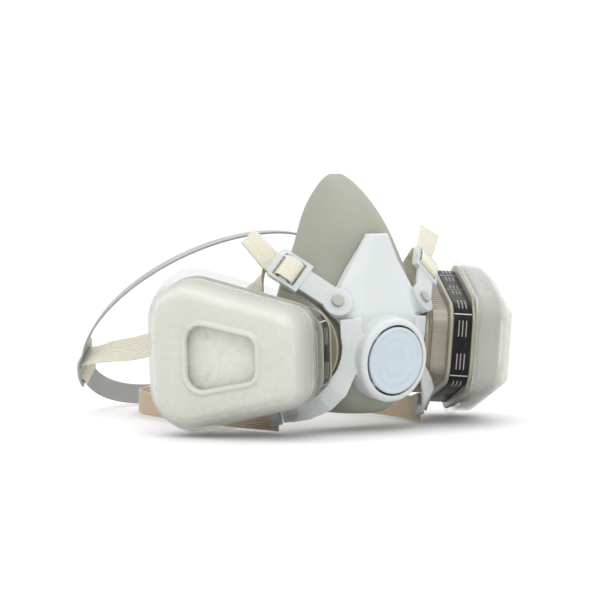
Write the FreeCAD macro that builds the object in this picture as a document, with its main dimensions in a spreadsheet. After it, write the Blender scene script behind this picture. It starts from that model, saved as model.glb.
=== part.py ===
"""Half-mask respirator with twin side cartridges, a strap yoke and a head harness, as a parametric document.

Row frame: +Z up, the wearer looks along -Y, +X is the wearer's left. Millimetres. The origin lies on the
surface that the respirator rests on, under the middle of its bounding box.
"""

import FreeCAD, Part
import math
import os

import Sketcher
from FreeCAD import Placement, Rotation, Vector

doc = FreeCAD.newDocument("respirator")
dims = doc.addObject("Spreadsheet::Sheet", "dims")

DRIVING = (
    # where the main features lie
    ("stud_x", 33.3, "strap stud, sideways from the middle"),
    ("stud_y", -107.85, "strap stud, front to back"),
    ("stud_z", 79.0, "strap stud, height"),
    ("case_x", 83.4, "middle of a cartridge's rim plane, sideways"),
    ("case_back", 26.4, "that middle, behind the stud"),
    ("case_z", 49.13, "its height"),
    ("case_turn", 59.0, "cartridge axis, degrees from straight ahead"),
    ("case_droop", 4.0, "cartridge axis, degrees below level"),
    # cartridge outline, a rounded trapezoid, taller at the rear
    ("case_shift", 0.0, "outline's middle along the cartridge"),
    ("case_half_length", 55.0, "half length of the cartridge outline"),
    ("case_mid_height", 40.2, "half height at its middle"),
    ("case_slope", 13.66, "slope of its long sides, degrees"),
    ("case_rear_radius", 27.0, "its rear corner radius"),
    ("case_front_radius", 20.0, "its front corner radius"),
    # filter cover's outline, at the skirt; it stops short of the cartridge's front end
    ("hood_shift", 3.5, "outline's middle along the cartridge"),
    ("hood_half_length", 50.5, "half length of the skirt"),
    ("hood_mid_height", 40.4, "half height at its middle"),
    ("hood_slope", 13.66, "slope of its long sides, degrees"),
    ("hood_rear_radius", 27.0, "its rear corner radius"),
    ("hood_front_radius", 15.0, "its front corner radius"),
    # air opening in the filter cover
    ("hole_shift", 3.3, "opening's middle along the cartridge"),
    ("hole_half_length", 21.0, "half length of the opening"),
    ("hole_mid_height", 16.2, "half height at its middle"),
    ("hole_slope", 11.4, "slope of its long sides, degrees"),
    ("hole_rear_radius", 9.0, "rear corner radius of the opening"),
    ("hole_front_radius", 6.5, "front corner radius of the opening"),
    ("lip_wide", 3.0, "raised lip round the opening"),
    ("lip_top", 26.4, "top of the lip over the rim plane"),
    # filter cover
    ("flange_out", 3.6, "flange beyond the skirt"),
    ("flange_thick", 1.6, "flange thickness"),
    ("wall", 1.5, "cover wall"),
    ("skirt_top", 14.0, "skirt height over the rim plane"),
    ("dome_top", 24.6, "dome height over the rim plane"),
    ("dome_in", 9.5, "dome inset from the skirt"),
    # cartridge body
    ("band_in", 5.5, "label band, inset from the cartridge outline"),
    ("band_inner", 6.1, "label band's inner face, inset"),
    ("band_low", -13.2, "label band's inner end"),
    ("band_high", -2.2, "label band's outer end"),
    ("sleeve_in", 6.4, "case under the band, inset"),
    ("rim_in", 1.0, "case rim under the cover, inset from the skirt"),
    ("shoulder_in", 5.0, "case rim at its front end, inset"),
    ("rim_low", -2.0, "underside of the case rim"),
    ("rim_high", -0.2, "top of the case rim"),
    ("ledge_in", 5.2, "ledge behind the label band, inset"),
    ("ledge_high", -13.4, "outer side of the ledge"),
    ("ledge_low", -15.6, "inner side of the ledge"),
    ("case_void", 7.9, "inside of the case, inset"),
    ("back_in", 11.0, "back shell, inset"),
    ("back_void", 12.4, "inside of the back shell, inset"),
    ("back_low", -28.0, "back of the case"),
    ("back_floor", -26.6, "inner face of the case's back"),
    ("back_round", 3.0, "back edge radius"),
    ("bed_in", 12.9, "sorbent bed, inset"),
    ("bed_low", -25.6, "sorbent bed, inner end"),
    ("bed_high", -4.0, "sorbent bed, outer end"),
    ("grille_in", 8.2, "front grille, inset"),
    ("grille_low", -3.6, "front grille, inner face"),
    ("grille_high", -0.8, "front grille, outer face"),
    ("grille_hole", 1.8, "front grille, hole radius"),
    ("pad_in", 2.4, "particulate pad's edge, inset from the skirt"),
    ("pad_low", 0.4, "underside of the particulate pad"),
    ("pad_edge", 3.4, "top of the pad's pressed edge"),
    ("pad_core_in", 7.0, "pad's raised middle, inset"),
    ("pad_high", 18.0, "top of the particulate pad"),
    # port between mask and cartridge
    ("port_shift", -20.0, "port from the cartridge's middle, along its length"),
    ("collar_radius", 29.0, "round collar on the case's back"),
    ("collar_low", -30.4, "inner face of the collar"),
    ("collar_high", -27.6, "outer face of the collar"),
    ("collar_gap", 30.2, "yoke's cut-out round the collar"),
    ("neck_radius", 17.0, "cartridge neck"),
    ("neck_bore", 14.0, "cartridge neck bore"),
    ("neck_end", -33.0, "inner end of the neck"),
    ("port_radius", 16.0, "port tube"),
    ("port_bore", 12.5, "port tube bore"),
    ("port_flange", 19.0, "port flange"),
    ("port_high", -33.3, "outer face of the port flange"),
    ("port_low", -35.3, "inner face of the port flange"),
    ("port_end", -42.0, "inner end of the port tube"),
    ("spoke_high", -40.0, "outer face of the spokes"),
    ("spoke_half", 1.2, "half width of a spoke"),
    ("post_radius", 1.6, "valve post"),
    ("post_end", -46.6, "inner end of the valve post"),
    ("knob_radius", 3.0, "post knob"),
    ("knob_high", -45.2, "outer face of the post knob"),
    ("flap_radius", 14.4, "inhalation flap"),
    ("flap_hole", 1.9, "hole round the post"),
    ("flap_high", -42.2, "outer face of the flap"),
    ("flap_low", -43.0, "inner face of the flap"),
    # exhalation valve, depths from the cover's face
    ("valve_z", 43.0, "valve axis height at the cover"),
    ("valve_front", -12.5, "cover face, from the stud"),
    ("valve_dip", 5.0, "valve axis, degrees below level"),
    ("cover_radius", 25.0, "valve cover"),
    ("cover_bore", 22.8, "inside of the valve cover"),
    ("cover_depth", 22.0, "valve cover depth"),
    ("cover_wall", 2.0, "cover's front wall"),
    ("cover_round", 3.0, "cover's front edge radius"),
    ("disc_hole", 20.9, "round recess in the cover's face"),
    ("disc_radius", 19.8, "disc in the recess"),
    ("disc_low", -1.6, "back of the disc"),
    ("disc_high", 0.9, "front of the disc"),
    ("disc_middle", 0.0, "middle of the disc, sideways"),
    ("disc_round", 0.6, "disc's front edge radius"),
    ("seat_flange", 20.0, "valve seat flange"),
    ("seat_flange_low", -12.1, "inner face of the seat flange"),
    ("seat_high", -10.5, "outer face of the seat"),
    ("seat_radius", 17.0, "valve seat"),
    ("seat_bore", 13.0, "valve seat bore"),
    ("seat_low", -18.0, "inner end of the seat"),
    ("seat_spoke_low", -13.0, "inner face of the seat's spokes"),
    ("exhale_radius", 15.6, "exhalation flap"),
    ("exhale_low", -10.3, "inner face of the exhalation flap"),
    ("exhale_high", -9.5, "outer face of the exhalation flap"),
    # strap buckles, depths from the stud head's middle
    ("arm_end", 25.0, "stud to buckle frame"),
    ("arm_half", 7.0, "half width of the strap arm"),
    ("arm_eye", 9.0, "eye round the stud"),
    ("arm_low", -3.2, "underside of the arm"),
    ("arm_high", -1.0, "top of the arm"),
    ("frame_start", 23.0, "near edge of the buckle frame"),
    ("frame_end", 44.5, "far edge of the buckle frame"),
    ("frame_half", 10.2, "half width of the buckle frame"),
    ("arm_corner", 3.5, "corner radius of the frame's outer end"),
    ("frame_low", -3.8, "underside of the buckle frame"),
    ("frame_high", -0.4, "top of the buckle frame"),
    ("slot_half", 8.0, "half length of a strap slot"),
    ("slot_one", 26.5, "near slot, near edge"),
    ("slot_one_end", 31.0, "near slot, far edge"),
    ("slot_two", 36.5, "far slot, near edge"),
    ("slot_two_end", 41.0, "far slot, far edge"),
    ("stud_radius", 3.6, "stud head"),
    ("stud_low", -0.8, "underside of the stud head"),
    ("stud_high", 0.8, "top of the stud head"),
    ("shank_radius", 2.4, "stud shank"),
    ("shank_low", -5.4, "inner end of the shank"),
    ("shank_hole", 2.45, "hole round the shank"),
    # webbing
    ("web_width", 14.5, "webbing width"),
    ("web_thick", 1.4, "webbing thickness"),
    # head cradle
    ("cradle_radius", 84.0, "cradle ring, at mid band"),
    ("cradle_back", 172.0, "ring's middle, behind the stud"),
    ("cradle_z", 60.6, "ring's middle, height"),
    ("cradle_tilt", 40.2, "ring's plane falls to the rear, degrees"),
    ("cradle_cone", 45.0, "band's lean towards the crown, degrees"),
    ("cradle_band", 12.5, "band width behind the lugs"),
    ("cradle_front", 8.0, "band width in front of the lugs"),
    ("cradle_lug", 20.5, "band width at the lugs"),
    ("cradle_thick", 1.4, "band thickness"),
    ("lug_turn", 32.0, "lug behind the ring's widest point, degrees"),
    ("lug_span", 20.0, "lug along the ring, degrees"),
)
for row, (alias, value, note) in enumerate(DRIVING, 1):
    dims.set(f"A{row}", alias)
    dims.set(f"B{row}", str(value))
    dims.setAlias(f"B{row}", alias)
    dims.set(f"C{row}", note)
doc.recompute()


def size(alias):
    """The value of a driving dimension."""
    return float(dims.get(alias))


# ---------------------------------------------------------------- places and frames

STUD_Y = size("stud_y")


def spot(x, back, z):
    """A point given sideways, behind the stud, and above the resting surface."""
    return Vector(x, STUD_Y + back, z)


def unit(v):
    return v * (1.0 / v.Length)


def mirrored(v, side):
    """The vector on one side: 1 is the wearer's left, -1 the right."""
    return Vector(side * v.x, v.y, v.z)


def side_frame(origin, along, normal, side):
    """Placement whose x runs along and z along normal, mirrored for side; y is up on 1 and down on -1."""
    x = mirrored(unit(along), side)
    z = mirrored(unit(normal), side)
    return Placement(mirrored(origin, side), Rotation(x, z.cross(x), z, "ZXY"))


TURN = math.radians(size("case_turn"))
DROOP = math.radians(size("case_droop"))
CASE_AXIS = Vector(math.sin(TURN) * math.cos(DROOP), -math.cos(TURN) * math.cos(DROOP), -math.sin(DROOP))
CASE_ALONG = Vector(math.cos(TURN), math.sin(TURN), 0)
CASE_CENTRE = spot(size("case_x"), size("case_back"), size("case_z"))
DIP = math.radians(size("valve_dip"))
VALVE_AXIS = Vector(0, -math.cos(DIP), -math.sin(DIP))
VALVE_FACE = spot(0, size("valve_front"), size("valve_z"))
VALVE_FRAME = Placement(VALVE_FACE, Rotation(Vector(1, 0, 0), VALVE_AXIS.cross(Vector(1, 0, 0)), VALVE_AXIS, "ZXY"))
ARM_ALONG = unit(Vector(26, 27, 24))
ARM_FACE = Vector(0.40, -0.79, 0.46)
ARM_NORMAL = unit(ARM_FACE - ARM_ALONG * ARM_FACE.dot(ARM_ALONG))
STUD_POINT = spot(size("stud_x"), 0, size("stud_z"))
SIDES = (("left", 1), ("right", -1))


def case_frame(side):
    return side_frame(CASE_CENTRE, CASE_ALONG, CASE_AXIS, side)


def arm_frame(side):
    return side_frame(STUD_POINT, ARM_ALONG, ARM_NORMAL, side)




# ---------------------------------------------------------------- feature helpers

parts = {}


def keep(label, obj):
    """Registers an object as a sub-part under its own label."""
    obj.Label = label
    parts[label] = obj
    return obj


def number(terms):
    """The value of a sum such as "band_in + 0.3", over the sheet's names."""
    total = 0.0
    sign = 1.0
    for word in terms.split():
        if word in ("+", "-"):
            sign = 1.0 if word == "+" else -1.0
        else:
            total += sign * (size(word) if word[0].isalpha() else float(word))
    return total


def formula(terms):
    """The same sum as an expression."""
    return " ".join("dims." + word if word[0].isalpha() else word for word in terms.split())


def length(terms):
    return f"({formula(terms)}) * 1 mm"


def new_body(label, placement):
    body = doc.addObject("PartDesign::Body", label + "_body")
    body.Placement = placement
    return keep(label, body)


def plane(body, role="XY_Plane"):
    return next(f for f in body.Origin.OriginFeatures if f.Role == role)


def flat_sketch(body, name, level):
    """An empty sketch on the body's XY plane, raised to the given level."""
    sketch = body.newObject("Sketcher::SketchObject", name)
    sketch.AttachmentSupport = [(plane(body), "")]
    sketch.MapMode = "FlatFace"
    sketch.setExpression("AttachmentOffset.Base.z", length(level))
    return sketch


def hold(sketch, name, text, *constraint):
    """Adds a named constraint and binds it to an expression."""
    index = sketch.addConstraint(Sketcher.Constraint(*constraint))
    sketch.renameConstraint(index, name)
    sketch.setExpression(f"Constraints.{name}", text)


def trapezoid(body, name, outline, inset, level):
    """The rounded trapezoid of the given outline, moved inwards by the inset, as a sketch."""
    sketch = flat_sketch(body, name, level)
    step = number(inset)
    shift = size(outline + "_shift")
    slope = math.radians(size(outline + "_slope"))
    half = size(outline + "_half_length") - step
    reach = size(outline + "_mid_height") * math.cos(slope) - step
    rear_r = size(outline + "_rear_radius") - step
    front_r = size(outline + "_front_radius") - step
    normal = Vector(-math.sin(slope), math.cos(slope), 0)
    middle = Vector(shift, 0, 0)

    def centre(x, r):
        return Vector(x, (reach - r - normal.x * x) / normal.y, 0)

    def arc(at, r, start, end):
        return Part.ArcOfCircle(Part.Circle(at + middle, Vector(0, 0, 1), r), start, end)

    def edge(start, end):
        return Part.LineSegment(start + middle, end + middle)

    def low(v):
        return Vector(v.x, -v.y, 0)

    rear_c = centre(half - rear_r, rear_r)
    front_c = centre(front_r - half, front_r)
    rear_p = Vector(half, rear_c.y, 0)
    front_p = Vector(-half, front_c.y, 0)
    top_rear = rear_c + normal * rear_r
    top_front = front_c + normal * front_r
    up = math.pi / 2 + slope
    sketch.addGeometry(
        [
            edge(low(rear_p), rear_p),
            arc(rear_c, rear_r, 0, up),
            edge(top_rear, top_front),
            arc(front_c, front_r, up, math.pi),
            edge(front_p, low(front_p)),
            arc(low(front_c), front_r, math.pi, 2 * math.pi - up),
            edge(low(top_front), low(top_rear)),
            arc(low(rear_c), rear_r, -up, 0),
        ]
    )
    sketch.addGeometry(Part.Point(middle), True)
    for i in range(8):
        sketch.addConstraint(Sketcher.Constraint("Tangent", i, 2, (i + 1) % 8, 1))
    sketch.addConstraint(Sketcher.Constraint("Vertical", 0))
    sketch.addConstraint(Sketcher.Constraint("PointOnObject", 8, 1, -1))
    hold(sketch, "shift", length(outline + "_shift"), "DistanceX", -1, 1, 8, 1, shift)
    half_text = f"(dims.{outline}_half_length - ({formula(inset)})) * 1 mm"
    tall = f"(dims.{outline}_mid_height * cos(dims.{outline}_slope * 1 deg) - ({formula(inset)})) * 1 mm"
    hold(sketch, "rear_line", half_text, "DistanceX", 8, 1, 0, 1, half)
    hold(sketch, "front_line", half_text, "DistanceX", 4, 1, 8, 1, half)
    hold(sketch, "top_line", tall, "Distance", 8, 1, 2, reach)
    hold(sketch, "bottom_line", tall, "Distance", 8, 1, 6, reach)
    hold(sketch, "top_slope", f"(dims.{outline}_slope - 180) * 1 deg", "Angle", 2, slope - math.pi)
    hold(sketch, "bottom_slope", f"-dims.{outline}_slope * 1 deg", "Angle", 6, -slope)
    for corner, geo, end in (("rear_top", 1, "rear"), ("front_top", 3, "front"),
                             ("front_low", 5, "front"), ("rear_low", 7, "rear")):
        text = f"(dims.{outline}_{end}_radius - ({formula(inset)})) * 1 mm"
        hold(sketch, corner, text, "Radius", geo, rear_r if end == "rear" else front_r)
    return sketch


def ring_sketch(body, name, radius, level, shift=None, inner=None):
    """One circle, or two for a ring, on the body's axis or moved along x."""
    sketch = flat_sketch(body, name, level)
    x = number(shift) if shift else 0.0
    for i, terms in enumerate((radius, inner) if inner else (radius,)):
        sketch.addGeometry(Part.Circle(Vector(x, 0, 0), Vector(0, 0, 1), number(terms)))
        if shift:
            hold(sketch, f"shift_{i}", length(shift), "DistanceX", -1, 1, i, 3, x)
            sketch.addConstraint(Sketcher.Constraint("PointOnObject", i, 3, -1))
        else:
            sketch.addConstraint(Sketcher.Constraint("Coincident", i, 3, -1, 1))
        hold(sketch, f"radius_{i}", length(terms), "Radius", i, number(terms))
    return sketch


def box_sketch(body, name, start, end, half, level):
    """A rectangle between two places along x, centred on y."""
    sketch = flat_sketch(body, name, level)
    a, b, w = number(start), number(end), number(half)
    corners = (Vector(a, -w, 0), Vector(b, -w, 0), Vector(b, w, 0), Vector(a, w, 0))
    for i in range(4):
        sketch.addGeometry(Part.LineSegment(corners[i], corners[(i + 1) % 4]))
    for i in range(4):
        sketch.addConstraint(Sketcher.Constraint("Coincident", i, 2, (i + 1) % 4, 1))
    for i, way in enumerate(("Horizontal", "Vertical") * 2):
        sketch.addConstraint(Sketcher.Constraint(way, i))
    hold(sketch, "start", length(start), "DistanceX", -1, 1, 0, 1, a)
    hold(sketch, "end", length(end), "DistanceX", -1, 1, 1, 1, b)
    hold(sketch, "low", length(half), "DistanceY", 0, 1, -1, 1, w)
    hold(sketch, "high", length(half), "DistanceY", -1, 1, 2, 1, w)
    return sketch


def pad(body, sketch, low, high):
    """Pads the sketch, which lies at the low level, up to the high one."""
    feature = body.newObject("PartDesign::Pad", sketch.Name + "_pad")
    feature.Profile = sketch
    feature.setExpression("Length", length(f"{high} - {low}"))
    return feature


def pocket(body, sketch, low, high):
    """Cuts from the sketch, which lies at the low level, up to the high one."""
    doc.recompute()
    before = body.Shape.Volume
    feature = body.newObject("PartDesign::Pocket", sketch.Name + "_cut")
    feature.Profile = sketch
    feature.Reversed = True
    feature.setExpression("Length", length(f"{high} - {low}"))
    doc.recompute()
    if not body.Shape.Volume < before:
        raise ValueError(f"{sketch.Name} cuts nothing")
    return feature


def fillet(body, name, base, edges, radius):
    feature = body.newObject("PartDesign::Fillet", name)
    feature.Base = (base, edges)
    feature.setExpression("Radius", length(radius))
    return feature


def loft(body, kind, first, second):
    """An additive or subtractive loft between two sketches."""
    feature = body.newObject(f"PartDesign::{kind}Loft", f"{first.Name}_loft")
    feature.Profile = first
    feature.Sections = [second]
    return feature


def solid(label, shape, placement=None):
    """A sub-part whose shape is given directly."""
    obj = keep(label, doc.addObject("Part::Feature", label))
    obj.Shape = shape
    if placement:
        obj.Placement = placement
    return obj


# ---------------------------------------------------------------- cartridges and filter covers


def cover(name, side):
    """Clear filter cover: flange, skirt and domed face with a large air opening."""
    body = new_body(f"filter_cover_{name}", case_frame(side))
    tag = f"cover_{name}_"
    pad(body, trapezoid(body, tag + "flange", "hood", "0 - flange_out", "0.0"), "0", "flange_thick")
    pad(body, trapezoid(body, tag + "skirt", "hood", "0", "0.0"), "0", "skirt_top")
    foot = trapezoid(body, tag + "foot", "hood", "0", "skirt_top")
    loft(body, "Additive", foot, trapezoid(body, tag + "face", "hood", "dome_in", "dome_top"))
    lip = trapezoid(body, tag + "lip", "hole", "0 - lip_wide", "dome_top")
    pad(body, lip, "dome_top", "lip_top")
    pocket(body, trapezoid(body, tag + "inside", "hood", "wall", "0.0"), "0", "skirt_top")
    void = trapezoid(body, tag + "void", "hood", "wall", "skirt_top - 0.01")
    loft(body, "Subtractive", void, trapezoid(body, tag + "ceiling", "hood", "dome_in + wall", "dome_top - wall"))
    pocket(body, trapezoid(body, tag + "opening", "hole", "0", "0.0"), "0", "lip_top")
    return body


def particulate_pad(name, side):
    """Soft pad under the cover: a pressed edge and a thicker middle."""
    body = new_body(f"particulate_pad_{name}", case_frame(side))
    tag = f"pad_{name}_"
    pad(body, trapezoid(body, tag + "edge", "hood", "pad_in", "pad_low"), "pad_low", "pad_edge")
    core = trapezoid(body, tag + "core", "hood", "pad_core_in", "pad_edge - 0.01")
    loft(body, "Additive", core, trapezoid(body, tag + "top", "hood", "pad_core_in + 3", "pad_high"))
    return body


def case(name, side):
    """Cartridge case: rim, wall under the label band, ledge, back shell and neck, open to the front."""
    body = new_body(f"cartridge_case_{name}", case_frame(side))
    tag = f"case_{name}_"
    back = pad(body, trapezoid(body, tag + "back", "case", "back_in", "back_low"), "back_low", "ledge_high")
    doc.recompute()
    rim = [
        f"Edge{i}"
        for i, edge in enumerate(back.Shape.Edges, 1)
        if max(v.Point.z for v in edge.Vertexes) < size("back_low") + 0.01
    ]
    fillet(body, tag + "rounding", back, rim, "back_round")
    pad(body, trapezoid(body, tag + "ledge", "case", "ledge_in", "ledge_low"), "ledge_low", "ledge_high")
    pad(body, trapezoid(body, tag + "wall", "case", "sleeve_in", "ledge_low"), "ledge_low", "rim_high")
    pad(body, trapezoid(body, tag + "rim", "hood", "rim_in", "rim_low"), "rim_low", "rim_high")
    pad(body, trapezoid(body, tag + "shoulder", "case", "shoulder_in", "rim_low"), "rim_low", "rim_high")
    collar = ring_sketch(body, tag + "collar", "collar_radius", "collar_low", "port_shift")
    pad(body, collar, "collar_low", "collar_high")
    pad(body, ring_sketch(body, tag + "neck", "neck_radius", "neck_end", "port_shift"), "neck_end", "back_floor")
    pocket(body, trapezoid(body, tag + "inside", "case", "case_void", "ledge_high"), "ledge_high", "rim_high")
    pocket(body, trapezoid(body, tag + "void", "case", "back_void", "back_floor"), "back_floor", "rim_high")
    pocket(body, ring_sketch(body, tag + "bore", "neck_bore", "neck_end", "port_shift"), "neck_end", "rim_high")
    return body


def label_band(name, side):
    """Thin printed band round the case."""
    body = new_body(f"label_band_{name}", case_frame(side))
    tag = f"band_{name}_"
    pad(body, trapezoid(body, tag + "outer", "case", "band_in", "band_low"), "band_low", "band_high")
    pocket(body, trapezoid(body, tag + "inner", "case", "band_inner", "band_low"), "band_low", "band_high")
    return body


def sorbent_bed(name, side):
    """Packed granules inside the case, kept as one block."""
    body = new_body(f"sorbent_bed_{name}", case_frame(side))
    pad(body, trapezoid(body, f"bed_{name}_block", "case", "bed_in", "bed_low"), "bed_low", "bed_high")
    return body


GRILLE_PITCH = 11.0


def grille(name, side):
    """Perforated plate that closes the case's front over the bed."""
    body = new_body(f"front_grille_{name}", case_frame(side))
    tag = f"grille_{name}_"
    plate = trapezoid(body, tag + "plate", "case", "grille_in", "grille_low")
    pad(body, plate, "grille_low", "grille_high")
    sketch = flat_sketch(body, tag + "holes", "grille_low")
    centres = [
        Vector(i * GRILLE_PITCH, j * GRILLE_PITCH, 0)
        for i in range(-3, 4)
        for j in range(-3, 4)
        if abs(j) * GRILLE_PITCH < size("case_mid_height") + 0.24 * i * GRILLE_PITCH - 16
    ]
    for i, at in enumerate(centres):
        sketch.addGeometry(Part.Circle(at, Vector(0, 0, 1), size("grille_hole")))
        sketch.addConstraint(Sketcher.Constraint("DistanceX", -1, 1, i, 3, at.x))
        sketch.addConstraint(Sketcher.Constraint("DistanceY", -1, 1, i, 3, at.y))
        if i:
            sketch.addConstraint(Sketcher.Constraint("Equal", 0, i))
    hold(sketch, "hole", length("grille_hole"), "Radius", 0, size("grille_hole"))
    pocket(body, sketch, "grille_low", "grille_high")
    return body


def spokes(body, tag, shift, half_span, low, high):
    """Two crossed bars through the port's middle."""
    start, end = f"{shift} - {half_span}", f"{shift} + {half_span}"
    pad(body, box_sketch(body, tag + "bar", start, end, "spoke_half", low), low, high)
    start, end = f"{shift} - spoke_half", f"{shift} + spoke_half"
    pad(body, box_sketch(body, tag + "cross", start, end, half_span, low), low, high)


def port(name, side):
    """Port bushing: flange, tube, spokes and the post that holds the inhalation flap."""
    body = new_body(f"port_bushing_{name}", case_frame(side))
    tag = f"port_{name}_"
    pad(body, ring_sketch(body, tag + "tube", "port_radius", "port_end", "port_shift"), "port_end", "port_high")
    pad(body, ring_sketch(body, tag + "rim", "port_flange", "port_low", "port_shift"), "port_low", "port_high")
    pocket(body, ring_sketch(body, tag + "bore", "port_bore", "port_end", "port_shift"), "port_end", "port_high")
    spokes(body, tag, "port_shift", "port_bore + 0.5", "port_end", "spoke_high")
    pad(body, ring_sketch(body, tag + "post", "post_radius", "post_end", "port_shift"), "post_end", "port_end")
    pad(body, ring_sketch(body, tag + "knob", "knob_radius", "post_end", "port_shift"), "post_end", "knob_high")
    return body


def inhalation_flap(name, side):
    """Thin elastic disc over the port's inner end, held on the post."""
    body = new_body(f"inhalation_flap_{name}", case_frame(side))
    disc = ring_sketch(body, f"flap_{name}_disc", "flap_radius", "flap_low", "port_shift", "flap_hole")
    pad(body, disc, "flap_low", "flap_high")
    return body


for side_name, side_sign in SIDES:
    cover(side_name, side_sign)
    particulate_pad(side_name, side_sign)
    case(side_name, side_sign)
    label_band(side_name, side_sign)
    sorbent_bed(side_name, side_sign)
    grille(side_name, side_sign)
    port(side_name, side_sign)
    inhalation_flap(side_name, side_sign)


# ---------------------------------------------------------------- face seal

# height, half width, front (behind the stud), squareness of the front, and rear
SEAL_SECTIONS = (
    (10.5, 12.0, 13.0, 2.0, 36.0),
    (13.5, 25.0, 5.5, 2.0, 42.0),
    (22.0, 35.0, 0.5, 2.1, 46.0),
    (34.0, 43.5, -1.5, 2.2, 48.5),
    (50.0, 49.0, -1.2, 2.3, 50.0),
    (66.0, 50.0, 2.5, 2.5, 50.0),
    (84.0, 45.5, 8.0, 2.8, 49.0),
    (100.0, 38.5, 8.3, 2.2, 49.0),
    (112.0, 32.0, 6.3, 1.9, 50.0),
    (121.0, 27.5, 7.8, 1.75, 51.3),
    (132.0, 21.5, 15.0, 1.7, 51.8),
    (141.5, 15.0, 25.5, 1.8, 50.0),
    (148.0, 9.5, 35.5, 2.0, 47.6),
    (151.5, 4.0, 41.5, 2.0, 45.8),
)
SEAL_MIDDLE = 81.0
SEAL_WALL = 2.4
FRONT_STEPS = 7


def seal_section(z, half, front, square, rear):
    """Left half of a closed curve: a rounded front, a flatter rear, and a line down the middle."""
    widest = front + 0.78 * (rear - front)
    points = [spot(0.0, front, z)]
    for i in range(1, FRONT_STEPS + 1):
        turn = math.pi / 2 * (1 - i / FRONT_STEPS)
        x = half * math.cos(turn) ** (2 / square)
        points.append(spot(x, widest - (widest - front) * math.sin(turn) ** (2 / square), z))
    points.append(spot(0.9 * half, rear - 0.07 * (rear - front), z))
    points.append(spot(0.5 * half, rear, z))
    points.append(spot(0.0, rear, z))
    wall = Part.BSplineCurve()
    loop = points + [mirrored(p, -1) for p in reversed(points[1:-1])]
    wall.interpolate(Points=loop, PeriodicFlag=True)
    wall.segment(wall.FirstParameter, wall.parameter(points[-1]))
    return Part.Wire([wall.toShape(), Part.makeLine(points[-1], points[0])])


def seal_loft(sections):
    half = Part.makeLoft([seal_section(*section) for section in sections], True, False)
    return half.fuse(half.mirror(Vector(0, 0, 0), Vector(1, 0, 0))).removeSplitter()


def cylinder(radius, low, high, x=0.0):
    return Part.makeCylinder(radius, high - low, Vector(x, 0, low))


def placed(shape, placement):
    shape.Placement = placement
    return shape


def port_cylinder(side, radius, low, high):
    """A cylinder about one port's axis, between two heights over the cartridge's rim plane."""
    return placed(cylinder(radius, low, high, size("port_shift")), case_frame(side))


def seal_outside(grow=0.0):
    """The face seal's outer form as a full solid, with its port and valve seats."""
    reach = SEAL_SECTIONS[-1][0] - SEAL_MIDDLE
    shape = seal_loft(
        [
            (SEAL_MIDDLE + (z - SEAL_MIDDLE) * (1 + grow / reach), half + grow, front - grow, square, rear + grow)
            for z, half, front, square, rear in SEAL_SECTIONS
        ]
    )
    seat = size("port_low") - 0.1 + grow
    for side in (1, -1):
        shape = shape.fuse(port_cylinder(side, size("port_flange") + 3.0 + grow, -44.0, seat))
        shape = shape.cut(port_cylinder(side, size("port_flange") + 1.0 - grow, seat, -10.0))
    seat = size("seat_flange_low") - 0.2 + grow
    shape = shape.cut(placed(cylinder(size("seat_flange") + 1.5 - grow, seat, 5.0), VALVE_FRAME))
    boss = cylinder(size("seat_flange") + 1.5 + grow, -24.0, seat)
    return shape.fuse(placed(boss, VALVE_FRAME))


def face_seal():
    """Soft facepiece: a cup that is open at the rear, with an inturned sealing lip."""
    squeeze = 0.962
    void = seal_loft(
        [
            (SEAL_MIDDLE + (z - SEAL_MIDDLE) * squeeze, half - SEAL_WALL, front + SEAL_WALL, square, rear - SEAL_WALL)
            for z, half, front, square, rear in SEAL_SECTIONS[1:-1]
        ]
    )
    for side in (1, -1):
        low = size("port_low") - SEAL_WALL
        void = void.cut(port_cylinder(side, size("port_flange") + 3.4, low, -10.0))
    mouth = seal_loft(
        [
            (SEAL_MIDDLE - 2 + (z - SEAL_MIDDLE) * 0.86, half - 11.0, rear - 9.0, 2.0, rear + 12.0)
            for z, half, front, square, rear in SEAL_SECTIONS[2:-3]
        ]
    )
    shape = seal_outside().cut(void).cut(mouth)
    for side in (1, -1):
        shape = shape.cut(port_cylinder(side, size("port_radius") + 0.2, -52.0, -20.0))
    hole = cylinder(size("seat_radius") + 0.2, -28.0, -5.0)
    return shape.cut(placed(hole, VALVE_FRAME)).removeSplitter()


solid("face_seal", face_seal())


# ---------------------------------------------------------------- ribbons


def ribbon(points, acrosses, width, thick):
    """A flat strap through the points, its width along the direction given at each one."""
    wires = []
    for i, (point, across) in enumerate(zip(points, acrosses)):
        ahead = unit(points[min(i + 1, len(points) - 1)] - points[max(i - 1, 0)])
        across = unit(across - ahead * across.dot(ahead)) * (width / 2)
        up = unit(ahead.cross(across)) * (thick / 2)
        corners = (point - across - up, point + across - up, point + across + up, point - across + up)
        wires.append(Part.makePolygon(list(corners) + [corners[0]]))
    return Part.makeLoft(wires, True, True)


def flip(shape):
    """The same shape on the other side."""
    return shape.mirror(Vector(0, 0, 0), Vector(1, 0, 0))


def both_sides(label, shape):
    solid(label + "_left", shape)
    solid(label + "_right", flip(shape))


# ---------------------------------------------------------------- yoke

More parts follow.
